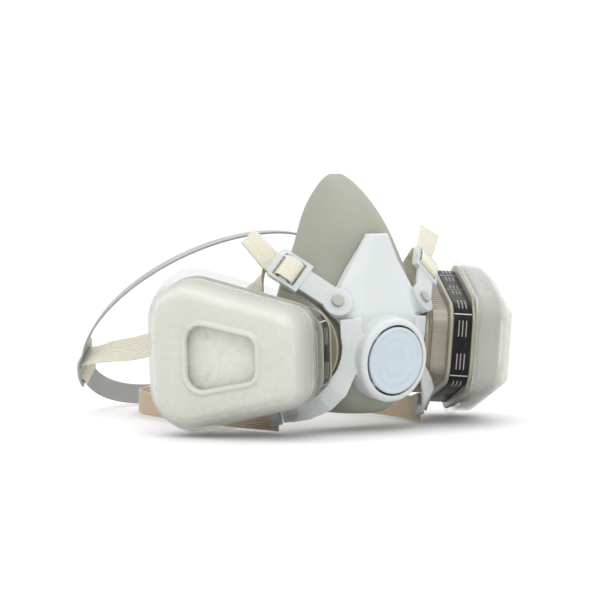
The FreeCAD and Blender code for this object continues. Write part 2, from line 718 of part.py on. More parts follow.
# height, then half width and depth of the middle facet, then of the side edges (behind the stud)
NOSE_SECTIONS = (
    (50.0, 19.0, -3.5, 23.5, 6.0),
    (62.0, 22.0, -4.0, 33.0, 6.0),
    (70.0, 20.0, -4.4, 33.5, 4.0),
    (75.0, 17.9, -3.5, 33.0, 3.6),
    (84.0, 14.5, -2.0, 28.0, 5.2),
    (100.0, 9.6, 0.0, 17.4, 5.8),
    (117.0, 5.6, 2.0, 7.1, 3.8),
)
NOSE_REAR = 24.0
ARM_PATH = (
    (26.5, -3.0, 68.0), (26.0, -3.2, 58.0), (27.0, -2.6, 47.0), (29.5, -1.5, 37.0), (34.0, 0.0, 27.0),
    (39.5, 5.0, 19.5), (45.5, 13.5, 14.8), (50.4, 21.8, 13.2), (53.5, 27.5, 12.6),
)
ARM_FACING = (
    (0.4, -0.9, 0.0), (0.45, -0.88, 0.0), (0.6, -0.8, -0.1), (0.7, -0.7, -0.2), (0.65, -0.65, -0.4),
    (0.6, -0.6, -0.5), (0.65, -0.6, -0.45), (0.7, -0.6, -0.35), (0.7, -0.6, -0.35),
)
BAND_WIDTH = 13.0
BAND_THICK = 2.2
PEG_AT = 7
PEG_HOLE = 2.5


def nose_solid():
    """Faceted nose plate, filled back to the face seal."""
    wires = []
    for z, half, front, edge, depth in NOSE_SECTIONS:
        right = [spot(half, front, z), spot(edge, depth, z), spot(edge, NOSE_REAR, z)]
        loop = right + [mirrored(p, -1) for p in reversed(right)]
        wires.append(Part.makePolygon(loop + [loop[0]]))
    return Part.makeLoft(wires, True, True)


def peg_place():
    """Middle and outward direction of the round peg near the arm's end."""
    return spot(*ARM_PATH[PEG_AT]), unit(Vector(*ARM_FACING[PEG_AT]))


def yoke():
    """Rigid yoke: nose plate, valve cover, stud bosses and the two lower arms, in one moulding."""
    front = cylinder(size("cover_radius"), -size("cover_depth"), 0.0)
    rim = [e for e in front.Edges if min(v.Point.z for v in e.Vertexes) > -0.01]
    cover_solid = front.makeFillet(size("cover_round"), rim)
    shape = placed(cover_solid, VALVE_FRAME).fuse(nose_solid())
    path = [spot(*p) for p in ARM_PATH]
    facing = [Vector(*f) for f in ARM_FACING]
    across = []
    for i, normal in enumerate(facing):
        ahead = path[min(i + 1, len(path) - 1)] - path[max(i - 1, 0)]
        across.append(normal.cross(ahead))
    arm = ribbon(path, across, BAND_WIDTH, BAND_THICK)
    boss = placed(cylinder(size("arm_eye") - 0.6, -15.0, size("arm_low") - 0.1), arm_frame(1))
    for piece in (arm, boss):
        shape = shape.fuse(piece).fuse(flip(piece))
    shape = shape.cut(placed(cylinder(size("cover_bore"), -60.0, -size("cover_wall")), VALVE_FRAME))
    shape = shape.cut(placed(cylinder(size("disc_hole"), -10.0, 5.0), VALVE_FRAME))
    for turn in (0, 90):
        bar = Part.makeBox(2 * size("cover_bore") + 1, 4.0, 1.8, Vector(-size("cover_bore") - 0.5, -2.0, -3.5))
        bar.rotate(Vector(0, 0, 0), Vector(0, 0, 1), 45 + turn)
        shape = shape.fuse(placed_more(bar, VALVE_FRAME))
    shape = shape.cut(seal_outside(0.3))
    for side in (1, -1):
        shape = shape.cut(placed(cylinder(size("shank_hole"), -20.0, 2.0), arm_frame(side)))
        shape = shape.cut(port_cylinder(side, size("collar_gap"), -50.0, -20.0))
        point, normal = peg_place()
        bore = Part.makeCylinder(PEG_HOLE, 12.0, mirrored(point - normal * 6, side), mirrored(normal, side))
        shape = shape.cut(bore)
    return max(shape.removeSplitter().Solids, key=lambda s: s.Volume)


def placed_more(shape, placement):
    """The shape moved on from where it already is."""
    moved = shape.copy()
    moved.Placement = placement.multiply(shape.Placement)
    return moved


def neck_peg():
    """Round snap peg that holds the neck strap's clip to the arm's end."""
    point, normal = peg_place()
    head = Part.makeCylinder(4.3, 1.5, point + normal * 1.8, normal)
    shank = Part.makeCylinder(PEG_HOLE - 0.05, 6.1, point - normal * 4.0, normal)
    return head.fuse(shank).removeSplitter()


solid("face_seal", face_seal())
solid("front_yoke", yoke())
both_sides("neck_peg", neck_peg())


# ---------------------------------------------------------------- exhalation valve


def valve_disc():
    """Loose-looking disc in the cover's recess; the gap round it lets the air out."""
    body = new_body("valve_disc", VALVE_FRAME)
    disc = pad(body, ring_sketch(body, "disc_plate", "disc_radius", "disc_low"), "disc_low", "disc_high")
    doc.recompute()
    front = [
        f"Edge{i}"
        for i, edge in enumerate(disc.Shape.Edges, 1)
        if min(v.Point.z for v in edge.Vertexes) > size("disc_high") - 0.01
    ]
    fillet(body, "disc_rounding", disc, front, "disc_round")


def exhalation_seat():
    """Valve seat in the face seal: flange, tube and a cross that stops the flap."""
    body = new_body("exhalation_seat", VALVE_FRAME)
    pad(body, ring_sketch(body, "seat_tube", "seat_radius", "seat_low"), "seat_low", "seat_high")
    flange = ring_sketch(body, "seat_rim", "seat_flange", "seat_flange_low")
    pad(body, flange, "seat_flange_low", "seat_high")
    pocket(body, ring_sketch(body, "seat_bore_cut", "seat_bore", "seat_low"), "seat_low", "seat_high")
    spokes(body, "seat_", "disc_middle", "seat_bore + 0.5", "seat_spoke_low", "seat_high")


def exhalation_flap():
    """Thin elastic flap that lifts off the seat when the wearer breathes out."""
    body = new_body("exhalation_flap", VALVE_FRAME)
    pad(body, ring_sketch(body, "exhale_disc", "exhale_radius", "exhale_low"), "exhale_low", "exhale_high")


valve_disc()
exhalation_seat()
exhalation_flap()


# ---------------------------------------------------------------- strap buckles


def buckle(name, side):
    """Strap arm that turns on its stud: an eye, a short arm and a frame with two slots."""
    body = new_body(f"buckle_{name}", arm_frame(side))
    tag = f"buckle_{name}_"
    pad(body, ring_sketch(body, tag + "eye", "arm_eye", "arm_low"), "arm_low", "arm_high")
    pad(body, box_sketch(body, tag + "arm", "0", "arm_end", "arm_half", "arm_low"), "arm_low", "arm_high")
    frame = box_sketch(body, tag + "frame", "frame_start", "frame_end", "frame_half", "frame_low")
    plate = pad(body, frame, "frame_low", "frame_high")
    doc.recompute()
    corners = [
        f"Edge{i}"
        for i, edge in enumerate(plate.Shape.Edges, 1)
        if abs(edge.tangentAt(edge.FirstParameter).z) > 0.99
        and min(v.Point.x for v in edge.Vertexes) > size("frame_end") - 0.01
    ]
    fillet(body, tag + "rounding", plate, corners, "arm_corner")
    for number_word in ("one", "two"):
        start, end = f"slot_{number_word}", f"slot_{number_word}_end"
        pocket(body, box_sketch(body, tag + start, start, end, "slot_half", "frame_low"), "frame_low", "frame_high")
    pocket(body, ring_sketch(body, tag + "hole", "shank_hole", "arm_low"), "arm_low", "arm_high")


def stud(name, side):
    """Stud that the strap arm turns on."""
    body = new_body(f"stud_{name}", arm_frame(side))
    tag = f"stud_{name}_"
    pad(body, ring_sketch(body, tag + "head", "stud_radius", "stud_low"), "stud_low", "stud_high")
    pad(body, ring_sketch(body, tag + "shank", "shank_radius", "shank_low"), "shank_low", "stud_low")


for side_name, side_sign in SIDES:
    buckle(side_name, side_sign)
    stud(side_name, side_sign)

# webbing through both slots, in the arm's own plane: along the arm, and above it
BUCKLE_WEB = (
    (47.0, -6.6), (44.0, -6.5), (30.0, -6.5), (28.4, -5.0), (28.4, -1.2), (30.2, 0.5),
    (37.3, 0.5), (39.1, -1.2), (39.1, -3.6), (40.9, -5.0), (46.0, -4.9),
)
TAIL_WAY = unit(Vector(12.4, 8.0, 16.0))
TAIL_FACE = Vector(0.08, -0.87, 0.49)
TAIL_LENGTH = 20.0


def arm_point(x, z):
    return STUD_POINT + ARM_ALONG * x + ARM_NORMAL * z


def buckle_web():
    """Webbing that rides on the buckle: in from below, up and over the middle bar, and out as a free tail."""
    points = [arm_point(x, z) for x, z in BUCKLE_WEB]
    across = [ARM_NORMAL.cross(ARM_ALONG)] * len(points)
    for part_way in (0.4, 1.0):
        points.append(points[len(BUCKLE_WEB) - 1] + TAIL_WAY * TAIL_LENGTH * part_way)
        across.append(across[0] * (1 - part_way) + TAIL_FACE.cross(TAIL_WAY) * part_way)
    return ribbon(points, across, size("web_width"), size("web_thick"))


both_sides("buckle_web", buckle_web())


# ---------------------------------------------------------------- head cradle

CRADLE_TILT = size("cradle_tilt")
CRADLE_FRAME = Placement(
    spot(0, size("cradle_back"), size("cradle_z")), Rotation(Vector(1, 0, 0), -CRADLE_TILT)
)


def band_profile(body, name, width, turn):
    """The band's thin rectangular section, leaning by the cone angle, turned about the ring's axis."""
    sketch = body.newObject("Sketcher::SketchObject", name)
    sketch.AttachmentSupport = [(plane(body, "XZ_Plane"), "")]
    sketch.MapMode = "FlatFace"
    sketch.AttachmentOffset = Placement(Vector(0, 0, 0), Rotation(Vector(0, 1, 0), turn))
    lean = math.radians(size("cradle_cone"))
    along = Vector(-math.sin(lean), math.cos(lean), 0) * (size(width) / 2)
    out = Vector(math.cos(lean), math.sin(lean), 0) * (size("cradle_thick") / 2)
    middle = Vector(size("cradle_radius"), 0, 0)
    corners = [middle - along - out, middle - along + out, middle + along + out, middle + along - out]
    for i in range(4):
        sketch.addGeometry(Part.LineSegment(corners[i], corners[(i + 1) % 4]))
    sketch.addGeometry(Part.LineSegment(corners[0], corners[2]), True)
    sketch.addGeometry(Part.Point(middle), True)
    for i in range(4):
        sketch.addConstraint(Sketcher.Constraint("Coincident", i, 2, (i + 1) % 4, 1))
    sketch.addConstraint(Sketcher.Constraint("Coincident", 4, 1, 0, 1))
    sketch.addConstraint(Sketcher.Constraint("Coincident", 4, 2, 2, 1))
    sketch.addConstraint(Sketcher.Constraint("Symmetric", 4, 1, 4, 2, 5, 1))
    sketch.addConstraint(Sketcher.Constraint("Parallel", 0, 2))
    sketch.addConstraint(Sketcher.Constraint("Perpendicular", 0, 1))
    sketch.addConstraint(Sketcher.Constraint("PointOnObject", 5, 1, -1))
    hold(sketch, "radius", length("cradle_radius"), "DistanceX", -1, 1, 5, 1, middle.x)
    hold(sketch, "thick", length("cradle_thick"), "Distance", 0, 1, 0, 2, size("cradle_thick"))
    hold(sketch, "width", length(width), "Distance", 1, 1, 1, 2, size(width))
    hold(sketch, "lean", "dims.cradle_cone * 1 deg", "Angle", 0, lean)
    return sketch


def revolve(body, sketch, angle):
    feature = body.newObject("PartDesign::Revolution", sketch.Name + "_turn")
    feature.Profile = sketch
    feature.ReferenceAxis = (sketch, ["V_Axis"])
    feature.Angle = angle
    return feature


LUG_TURN = math.radians(size("lug_turn"))
LEAN = math.radians(size("cradle_cone"))
RADIAL = Vector(math.cos(LUG_TURN), math.sin(LUG_TURN), 0)
LUG_ALONG = Vector(-math.sin(LUG_TURN), math.cos(LUG_TURN), 0)
LUG_ACROSS = Vector(0, 0, math.cos(LEAN)) - RADIAL * math.sin(LEAN)
LUG_OUT = Vector(0, 0, math.sin(LEAN)) + RADIAL * math.cos(LEAN)
SLOT_AT = 7.0
SLOT_WIDE = 4.2
SLOT_LONG = 15.6


def cradle_direction(v):
    return CRADLE_FRAME.Rotation.multVec(v)


def lug_point(along, out, across=0.0):
    """A point of the left lug's own frame, in the row frame."""
    local = RADIAL * size("cradle_radius") + LUG_ALONG * along + LUG_OUT * out + LUG_ACROSS * across
    return CRADLE_FRAME.multVec(local)


def cradle():
    """Ring of flat band that sits on the crown, with two slotted lugs for the straps."""
    body = new_body("crown_cradle", CRADLE_FRAME)
    turn, span = size("lug_turn"), size("lug_span")
    revolve(body, band_profile(body, "cradle_rear_section", "cradle_band", turn), 180 - 2 * turn)
    revolve(body, band_profile(body, "cradle_front_section", "cradle_front", 180 - turn), 180 + 2 * turn)
    for name, middle in (("left", size("lug_turn")), ("right", 180 - size("lug_turn"))):
        revolve(body, band_profile(body, f"cradle_lug_{name}", "cradle_lug", middle - span / 2), span)
        turn = math.radians(middle)
        radial = Vector(math.cos(turn), math.sin(turn), 0)
        along = Vector(-math.sin(turn), math.cos(turn), 0)
        out = Vector(0, 0, math.sin(LEAN)) + radial * math.cos(LEAN)
        sketch = body.newObject("Sketcher::SketchObject", f"cradle_slots_{name}")
        sketch.AttachmentSupport = [(plane(body), "")]
        sketch.MapMode = "FlatFace"
        sketch.AttachmentOffset = Placement(
            radial * size("cradle_radius") - out * 5, Rotation(along, out.cross(along), out, "ZXY")
        )
        for at in (-SLOT_AT, SLOT_AT):
            slot_outline(sketch, at)
        doc.recompute()
        before = body.Shape.Volume
        cut = body.newObject("PartDesign::Pocket", sketch.Name + "_cut")
        cut.Profile = sketch
        cut.Reversed = True
        cut.Length = 10
        doc.recompute()
        if not body.Shape.Volume < before:
            raise ValueError(f"{sketch.Name} cuts nothing")


def slot_outline(sketch, at):
    """One strap slot: a rectangle about a point on the sketch's x axis."""
    first = sketch.GeometryCount
    x0, x1, y = at - SLOT_WIDE / 2, at + SLOT_WIDE / 2, SLOT_LONG / 2
    corners = (Vector(x0, -y, 0), Vector(x1, -y, 0), Vector(x1, y, 0), Vector(x0, y, 0))
    for i in range(4):
        sketch.addGeometry(Part.LineSegment(corners[i], corners[(i + 1) % 4]))
    for i in range(4):
        sketch.addConstraint(Sketcher.Constraint("Coincident", first + i, 2, first + (i + 1) % 4, 1))
        sketch.addConstraint(Sketcher.Constraint(("Horizontal", "Vertical")[i % 2], first + i))
    sketch.addConstraint(Sketcher.Constraint("DistanceX", -1, 1, first, 1, x0))
    sketch.addConstraint(Sketcher.Constraint("DistanceX", first, 1, first, 2, SLOT_WIDE))
    sketch.addConstraint(Sketcher.Constraint("DistanceY", first, 1, -1, 1, y))
    sketch.addConstraint(Sketcher.Constraint("DistanceY", first + 1, 1, first + 1, 2, SLOT_LONG))


cradle()

# webbing over the lug's bar: along the ring, and out from the band's middle
CRADLE_WEB = ((-20.0, -13.0), (-9.6, -2.9), (-5.9, 1.3), (0.0, 1.75), (5.9, 1.3), (8.7, -2.2), (14.5, -2.9))


def cradle_web():
    """Webbing that rides on the cradle: in from below, over the lug's bar and back under the band."""
    points = [lug_point(along, out) for along, out in CRADLE_WEB]
    across = [cradle_direction(LUG_ACROSS)] * len(points)
    return ribbon(points, across, size("web_width"), size("web_thick"))


both_sides("cradle_web", cradle_web())


# ---------------------------------------------------------------- straps and neck clasp

UP = Vector(0, 0, 1)
# sideways, back and up; then the way the webbing's width points
STRAP_PATH = (
    ((57.6, 38.2, 96.0), (-0.6, 0.3, 0.7)),
    ((55.6, 45.0, 86.5), (-0.3, 0.5, 0.8)),
    ((57.0, 62.0, 74.5), (0, 0, 1)),
    ((61.5, 95.0, 61.5), (0, 0, 1)),
    ((66.0, 135.0, 48.5), (0, 0, 1)),
    ((66.8, 160.0, 43.0), (-0.12, 0, 1)),
    ((69.8, 175.5, 40.8), (-0.45, 0.1, 0.88)),
)


def upper_strap():
    """Free run of webbing between buckle and cradle; its ends are close to the webbing they continue."""
    points = [spot(*p) for p, _ in STRAP_PATH]
    return ribbon(points, [Vector(*across) for _, across in STRAP_PATH], size("web_width"), size("web_thick"))


NECK_PATH = (
    (55.0, 38.4), (57.5, 50.0), (59.8, 68.0), (61.0, 90.0), (60.5, 120.0), (57.5, 150.0),
    (52.0, 172.0), (43.0, 186.0), (31.5, 193.5), (19.2, 197.4),
)
NECK_Z = 8.51


def neck_strap():
    """Lower strap: webbing on its edge from the arm's peg round to the clasp."""
    points = [spot(x, back, NECK_Z) for x, back in NECK_PATH]
    return ribbon(points, [UP] * len(points), size("web_width"), size("web_thick"))


def neck_clip():
    """Small clip between an arm's end and the neck strap."""
    points = [spot(54.1, 28.6, 12.0), spot(54.7, 36.4, 9.6)]
    return ribbon(points, [Vector(0, 0, 1)] * 2, 13.0, 2.6)


both_sides("neck_clip", neck_clip())
both_sides("upper_strap", upper_strap())
both_sides("neck_strap", neck_strap())

CLASP = spot(0, 198.0, NECK_Z)
PLATE_HEIGHT = 17.0


def block(x0, x1, y0, y1, height):
    """A box in the clasp's frame, centred in height."""
    return Part.makeBox(x1 - x0, y1 - y0, height, CLASP + Vector(x0, y0, -height / 2))


def neck_loop():
    """Clasp's left plate: one slot for the webbing and one that takes the hook."""
    plate = block(0.0, 18.5, -1.2, 1.2, PLATE_HEIGHT)
    plate = plate.cut(block(12.8, 16.4, -2.0, 2.0, PLATE_HEIGHT - 1.0))
    return plate.cut(block(2.6, 9.8, -2.0, 2.0, PLATE_HEIGHT - 5.0))


def neck_hook():
    """Clasp's right plate: a slot for the webbing and a prong that enters the other plate's slot."""
    plate = block(-18.5, 8.3, 1.7, 3.7, PLATE_HEIGHT)
    plate = plate.cut(block(-16.4, -12.8, 1.0, 4.5, PLATE_HEIGHT - 1.0))
    prong = block(5.3, 8.3, -3.2, 3.7, PLATE_HEIGHT - 6.0)
    return plate.fuse(prong).removeSplitter()


solid("neck_loop", neck_loop())
solid("neck_hook", neck_hook())


# ---------------------------------------------------------------- checks and files

doc.recompute()
for obj in doc.Objects:
    if "Invalid" in obj.State or "Error" in obj.State:
        raise ValueError(f"{obj.Label}: {obj.State}")
os.makedirs("parts", exist_ok=True)
for label, obj in parts.items():
    if obj.Shape.isNull() or not obj.Shape.isValid() or len(obj.Shape.Solids) != 1:
        raise ValueError(f"{label}: not one valid solid")
    obj.Shape.exportStep(f"parts/{label}.step")
box = FreeCAD.BoundBox()
for obj in parts.values():
    box.add(obj.Shape.BoundBox)
print(len(parts), "sub-parts", box)
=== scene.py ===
"""Looks of the half-mask respirator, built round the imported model. Metres, in the model's own frame."""

import math

import bmesh
import bpy
from mathutils import Matrix, Vector, noise


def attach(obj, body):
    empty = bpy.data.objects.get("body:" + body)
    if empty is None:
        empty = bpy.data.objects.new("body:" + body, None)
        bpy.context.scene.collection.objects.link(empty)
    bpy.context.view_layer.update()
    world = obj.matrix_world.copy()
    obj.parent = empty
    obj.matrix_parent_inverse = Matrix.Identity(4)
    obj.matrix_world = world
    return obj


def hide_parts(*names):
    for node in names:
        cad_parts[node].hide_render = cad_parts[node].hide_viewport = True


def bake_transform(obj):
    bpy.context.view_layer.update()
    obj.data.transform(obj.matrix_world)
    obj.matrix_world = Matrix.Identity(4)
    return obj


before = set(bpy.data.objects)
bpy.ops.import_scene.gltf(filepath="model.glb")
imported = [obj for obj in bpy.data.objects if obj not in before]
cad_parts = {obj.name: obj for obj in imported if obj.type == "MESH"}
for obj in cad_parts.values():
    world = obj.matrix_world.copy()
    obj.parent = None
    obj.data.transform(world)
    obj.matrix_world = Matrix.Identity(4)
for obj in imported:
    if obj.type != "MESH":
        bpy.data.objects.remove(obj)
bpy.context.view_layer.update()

MM = 0.001
SIDES = (("left", 1), ("right", -1))

# ------------------------------------------------------------------ places, in millimetres

STUD_Y = -107.85
CASE_CENTRE = (83.4, 26.4, 49.13)
CASE_TURN = math.radians(59)
CASE_DROOP = math.radians(4)
ARM_ALONG = Vector((26, 27, 24)).normalized()
ARM_FACE = Vector((0.40, -0.79, 0.46))
ARM_NORMAL = (ARM_FACE - ARM_ALONG * ARM_FACE.dot(ARM_ALONG)).normalized()
STUD = (33.3, 0, 79)
VALVE_DIP = math.radians(5)


def spot(x, back, z):
    """A point given sideways, behind the stud and above the floor, in millimetres; returned in metres."""
    return Vector((x, STUD_Y + back, z)) * MM


def mirrored(v, side):
    return Vector((side * v.x, v.y, v.z))


def frame_matrix(origin, x, z):
    """Frame with those x and z directions, scaled so that its units are millimetres."""
    y = z.cross(x)
    turn = Matrix((x, y, z)).transposed().to_4x4()
    return Matrix.Translation(origin) @ turn @ Matrix.Scale(MM, 4)


CASE_AXIS = Vector(
    (
        math.sin(CASE_TURN) * math.cos(CASE_DROOP),
        -math.cos(CASE_TURN) * math.cos(CASE_DROOP),
        -math.sin(CASE_DROOP),
    )
)
CASE_ALONG = Vector((math.cos(CASE_TURN), math.sin(CASE_TURN), 0))
VALVE_AXIS = Vector((0, -math.cos(VALVE_DIP), -math.sin(VALVE_DIP)))
VALVE_FRAME = frame_matrix(spot(0, -12.5, 43), Vector((1, 0, 0)), VALVE_AXIS)


def case_frame(side):
    centre = mirrored(spot(*CASE_CENTRE), side)
    return frame_matrix(centre, mirrored(CASE_ALONG, side), mirrored(CASE_AXIS, side))


def arm_frame(side):
    return frame_matrix(mirrored(spot(*STUD), side), mirrored(ARM_ALONG, side), mirrored(ARM_NORMAL, side))


# ------------------------------------------------------------------ mesh helpers


def new_object(name, mesh, matrix=None):
    """An object at the origin; a mesh built in a local frame is carried into place."""
    if matrix:
        mesh.transform(matrix)
    obj = bpy.data.objects.new(name, mesh)
    bpy.context.scene.collection.objects.link(obj)
    return obj


def finished(name, mesh, matrix=None):
    """An object from a bmesh whose faces are all there; its normals are turned outwards."""
    bmesh.ops.recalc_face_normals(mesh, faces=mesh.faces)
    data = bpy.data.meshes.new(name)
    mesh.to_mesh(data)
    mesh.free()
    return new_object(name, data, matrix)


def smooth(obj, angle=35):
    """Smooth shading, kept sharp at edges over the angle."""
    for polygon in obj.data.polygons:
        polygon.use_smooth = True
    obj.data.set_sharp_from_angle(angle=math.radians(angle))
    return obj


def dress(obj, material, slot_name, body, *nodes):
    """Gives a piece its material and the body it rides on, and hides the nodes it stands for; the slot name
    is not used.
    """
    obj.data.materials.clear()
    obj.data.materials.append(material)
    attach(obj, body)
    if nodes:
        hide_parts(*nodes)
    return obj


def apply_modifiers(obj):
    depsgraph = bpy.context.evaluated_depsgraph_get()
    mesh = bpy.data.meshes.new_from_object(obj.evaluated_get(depsgraph))
    obj.modifiers.clear()
    obj.data = mesh
    return obj


def moulded(name, node, voxel, passes, extra=()):
    """A CAD node's form as one moulding: remeshed finely and eased, so that every edge is a little round."""
    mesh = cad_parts[node].data.copy()
    obj = new_object(name, mesh)
    if extra:
        joined = bmesh.new()
        joined.from_mesh(mesh)
        for other in extra:
            joined.from_mesh(other)
        joined.to_mesh(mesh)
        joined.free()
    remesh = obj.modifiers.new("remesh", "REMESH")
    remesh.mode = "VOXEL"
    remesh.voxel_size = voxel * MM
    ease = obj.modifiers.new("ease", "SMOOTH")
    ease.iterations = passes
    ease.factor = 0.5
    apply_modifiers(obj)
    for polygon in obj.data.polygons:
        polygon.use_smooth = True
    return obj


def outline(shape, inset, fine=1):
    """Points round a rounded trapezoid, moved inwards; the same count for every shape and inset."""
    shift, half_length, mid_height, slope, rear_radius, front_radius = shape
    slope = math.radians(slope)
    half = half_length - inset
    reach = mid_height * math.cos(slope) - inset
    rear_r = max(rear_radius - inset, 0.6)
    front_r = max(front_radius - inset, 0.6)

    def centre(x, r):
        return Vector((x, (reach - r + math.sin(slope) * x) / math.cos(slope)))

    rear = centre(half - rear_r, rear_r)
    front = centre(front_r - half, front_r)
    up = math.pi / 2 + slope
    upper = []

    def line(a, b, steps):
        upper.extend(a.lerp(b, i / steps) for i in range(steps))

    def arc(at, r, start, end, steps):
        for i in range(steps):
            turn = start + (end - start) * i / steps
            upper.append(at + Vector((math.cos(turn), math.sin(turn))) * r)

    def on(at, r, turn):
        return at + Vector((math.cos(turn), math.sin(turn))) * r

    line(Vector((half, 0)), on(rear, rear_r, 0), 6 * fine)
    arc(rear, rear_r, 0, up, 14 * fine)
    line(on(rear, rear_r, up), on(front, front_r, up), 14 * fine)
    arc(front, front_r, up, math.pi, 8 * fine)
    line(on(front, front_r, math.pi), Vector((-half, 0)), 4 * fine)
    upper.append(Vector((-half, 0)))
    lower = [Vector((p.x, -p.y)) for p in reversed(upper[1:-1])]
    return [Vector((p.x + shift, p.y)) for p in upper + lower]


def rounded(profile, steps=4):
    """A profile of (shape, inset, height, radius) with its corners rounded by those radii."""
    result = []
    count = len(profile)
    for i, (shape, inset, height, radius) in enumerate(profile):
        before, after = profile[i - 1], profile[(i + 1) % count]
        if radius <= 0:
            result.append((shape, inset, height))
            continue
        here = Vector((inset, height))
        to_before = Vector(before[1:3]) - here
        to_after = Vector(after[1:3]) - here
        a = to_before if before[0] == shape else -to_after
        b = to_after if after[0] == shape else -to_before
        cut_a = min(radius, a.length * 0.48)
        cut_b = min(radius, b.length * 0.48)
        start, end = here + a.normalized() * cut_a, here + b.normalized() * cut_b
        for k in range(steps + 1):
            t = k / steps
            point = start.lerp(here, t).lerp(here.lerp(end, t), t)
            result.append((shape, point.x, point.y))
    return result


def stack(name, rings, matrix, closed=False, fine=1):
    """A mesh through stacked outlines: closed on itself, or capped at both ends."""
    mesh = bmesh.new()
    rows = []
    for shape, inset, height in rings:
        rows.append([mesh.verts.new((p.x, p.y, height)) for p in outline(shape, inset, fine)])
    pairs = list(zip(rows, rows[1:])) + ([(rows[-1], rows[0])] if closed else [])
    count = len(rows[0])
    for low, high in pairs:
        for i in range(count):
            j = (i + 1) % count
            mesh.faces.new((low[i], low[j], high[j], high[i]))
    if not closed:
        mesh.faces.new(rows[0])
        mesh.faces.new(rows[-1])
    return finished(name, mesh, matrix)


def lathe(name, profile, matrix, count=96, at=(0.0, 0.0)):
    """A ring or disc turned about the frame's z axis, through (radius, height) points; closed on itself."""
    mesh = bmesh.new()
    rows = []
    for radius, height in profile:
        if radius < 1e-6:
            rows.append([mesh.verts.new((at[0], at[1], height))])
            continue
        row = []
        for i in range(count):
            turn = 2 * math.pi * i / count
            x, y = at[0] + radius * math.cos(turn), at[1] + radius * math.sin(turn)
            row.append(mesh.verts.new((x, y, height)))
        rows.append(row)
    whole = len(rows[0]) > 1 and len(rows[-1]) > 1
    for low, high in list(zip(rows, rows[1:])) + ([(rows[-1], rows[0])] if whole else []):
        for i in range(count):
            j = (i + 1) % count
            corners = [low[i % len(low)], low[j % len(low)], high[j % len(high)], high[i % len(high)]]
            face = list(dict.fromkeys(corners))
            mesh.faces.new(face)
    return finished(name, mesh, matrix)


# ------------------------------------------------------------------ materials


class Nodes:
    """A material's node tree, with short calls for the nodes used here."""

    def __init__(self, name, roughness, **sockets):
        self.material = bpy.data.materials.new(name)
        self.material.use_nodes = True
        self.tree = self.material.node_tree
        self.shader = self.tree.nodes["Principled BSDF"]
        self.shader.inputs["Roughness"].default_value = roughness
        for label, value in sockets.items():
            self.shader.inputs[label.replace("_", " ")].default_value = value
        self.coords = self.tree.nodes.new("ShaderNodeTexCoord")

    def link(self, source, target):
        self.tree.links.new(source, target)

    def noise(self, scale, detail=4, stretch=(1, 1, 1), rough=0.55, space="Object"):
        mapping = self.tree.nodes.new("ShaderNodeMapping")
        mapping.inputs["Scale"].default_value = stretch
        self.link(self.coords.outputs[space], mapping.inputs["Vector"])
        node = self.tree.nodes.new("ShaderNodeTexNoise")
        node.inputs["Scale"].default_value = scale
        node.inputs["Detail"].default_value = detail
        node.inputs["Roughness"].default_value = rough
        self.link(mapping.outputs["Vector"], node.inputs["Vector"])
        return node.outputs["Fac"]

    def ramp(self, value, *stops):
        """Colours along a value: (position, colour) pairs."""
        node = self.tree.nodes.new("ShaderNodeValToRGB")
        ramp = node.color_ramp
        while len(ramp.elements) < len(stops):
            ramp.elements.new(0.5)
        for element, (position, colour) in zip(ramp.elements, stops):
            element.position = position
            element.color = (*colour, 1)
        self.link(value, node.inputs["Fac"])
        return node.outputs["Color"]

    def math(self, operation, a, b=None):
        node = self.tree.nodes.new("ShaderNodeMath")
        node.operation = operation
        for i, value in enumerate((a, b)):
            if isinstance(value, (int, float)):
                node.inputs[i].default_value = value
            elif value is not None:
                self.link(value, node.inputs[i])
        return node.outputs["Value"]

    def mix(self, factor, a, b):
        node = self.tree.nodes.new("ShaderNodeMix")
        node.data_type = "RGBA"
        for socket, value in ((node.inputs[0], factor), (node.inputs[6], a), (node.inputs[7], b)):
            if isinstance(value, (int, float)):
                socket.default_value = value
            elif isinstance(value, tuple):
                socket.default_value = (*value, 1)
            else:
                self.link(value, socket)
        return node.outputs[2]

    def split(self, space):
        node = self.tree.nodes.new("ShaderNodeSeparateXYZ")
        self.link(self.coords.outputs[space], node.inputs["Vector"])
        return node.outputs

    def bump(self, height, strength, distance=0.0002):
        node = self.tree.nodes.new("ShaderNodeBump")
        node.inputs["Strength"].default_value = strength
        node.inputs["Distance"].default_value = distance
        self.link(height, node.inputs["Height"])
        self.link(node.outputs["Normal"], self.shader.inputs["Normal"])

    def colour(self, output):
        self.link(output, self.shader.inputs["Base Color"])

    def roughness(self, output):
        self.link(output, self.shader.inputs["Roughness"])


def shade(colour, factor):
    return tuple(min(1.0, c * factor) for c in colour)


def grey(value):
    return (value, value, value)


def moulding(name, colour, roughness=0.42, grain=1400.0, relief=0.12, vary=0.05, **sockets):
    """Moulded plastic: a faint cloudiness, handling marks in the gloss and a fine moulded grain."""
    nodes = Nodes(name, roughness, **sockets)
    cloud = nodes.noise(45.0, 5)
    nodes.colour(nodes.ramp(cloud, (0.3, shade(colour, 1 - vary)), (0.7, shade(colour, 1 + vary))))
    marks = nodes.noise(160.0, 6, rough=0.7)
    nodes.roughness(nodes.math("ADD", nodes.math("MULTIPLY", marks, 0.16), roughness - 0.08))
    nodes.bump(nodes.noise(grain, 3), relief)
    return nodes.material


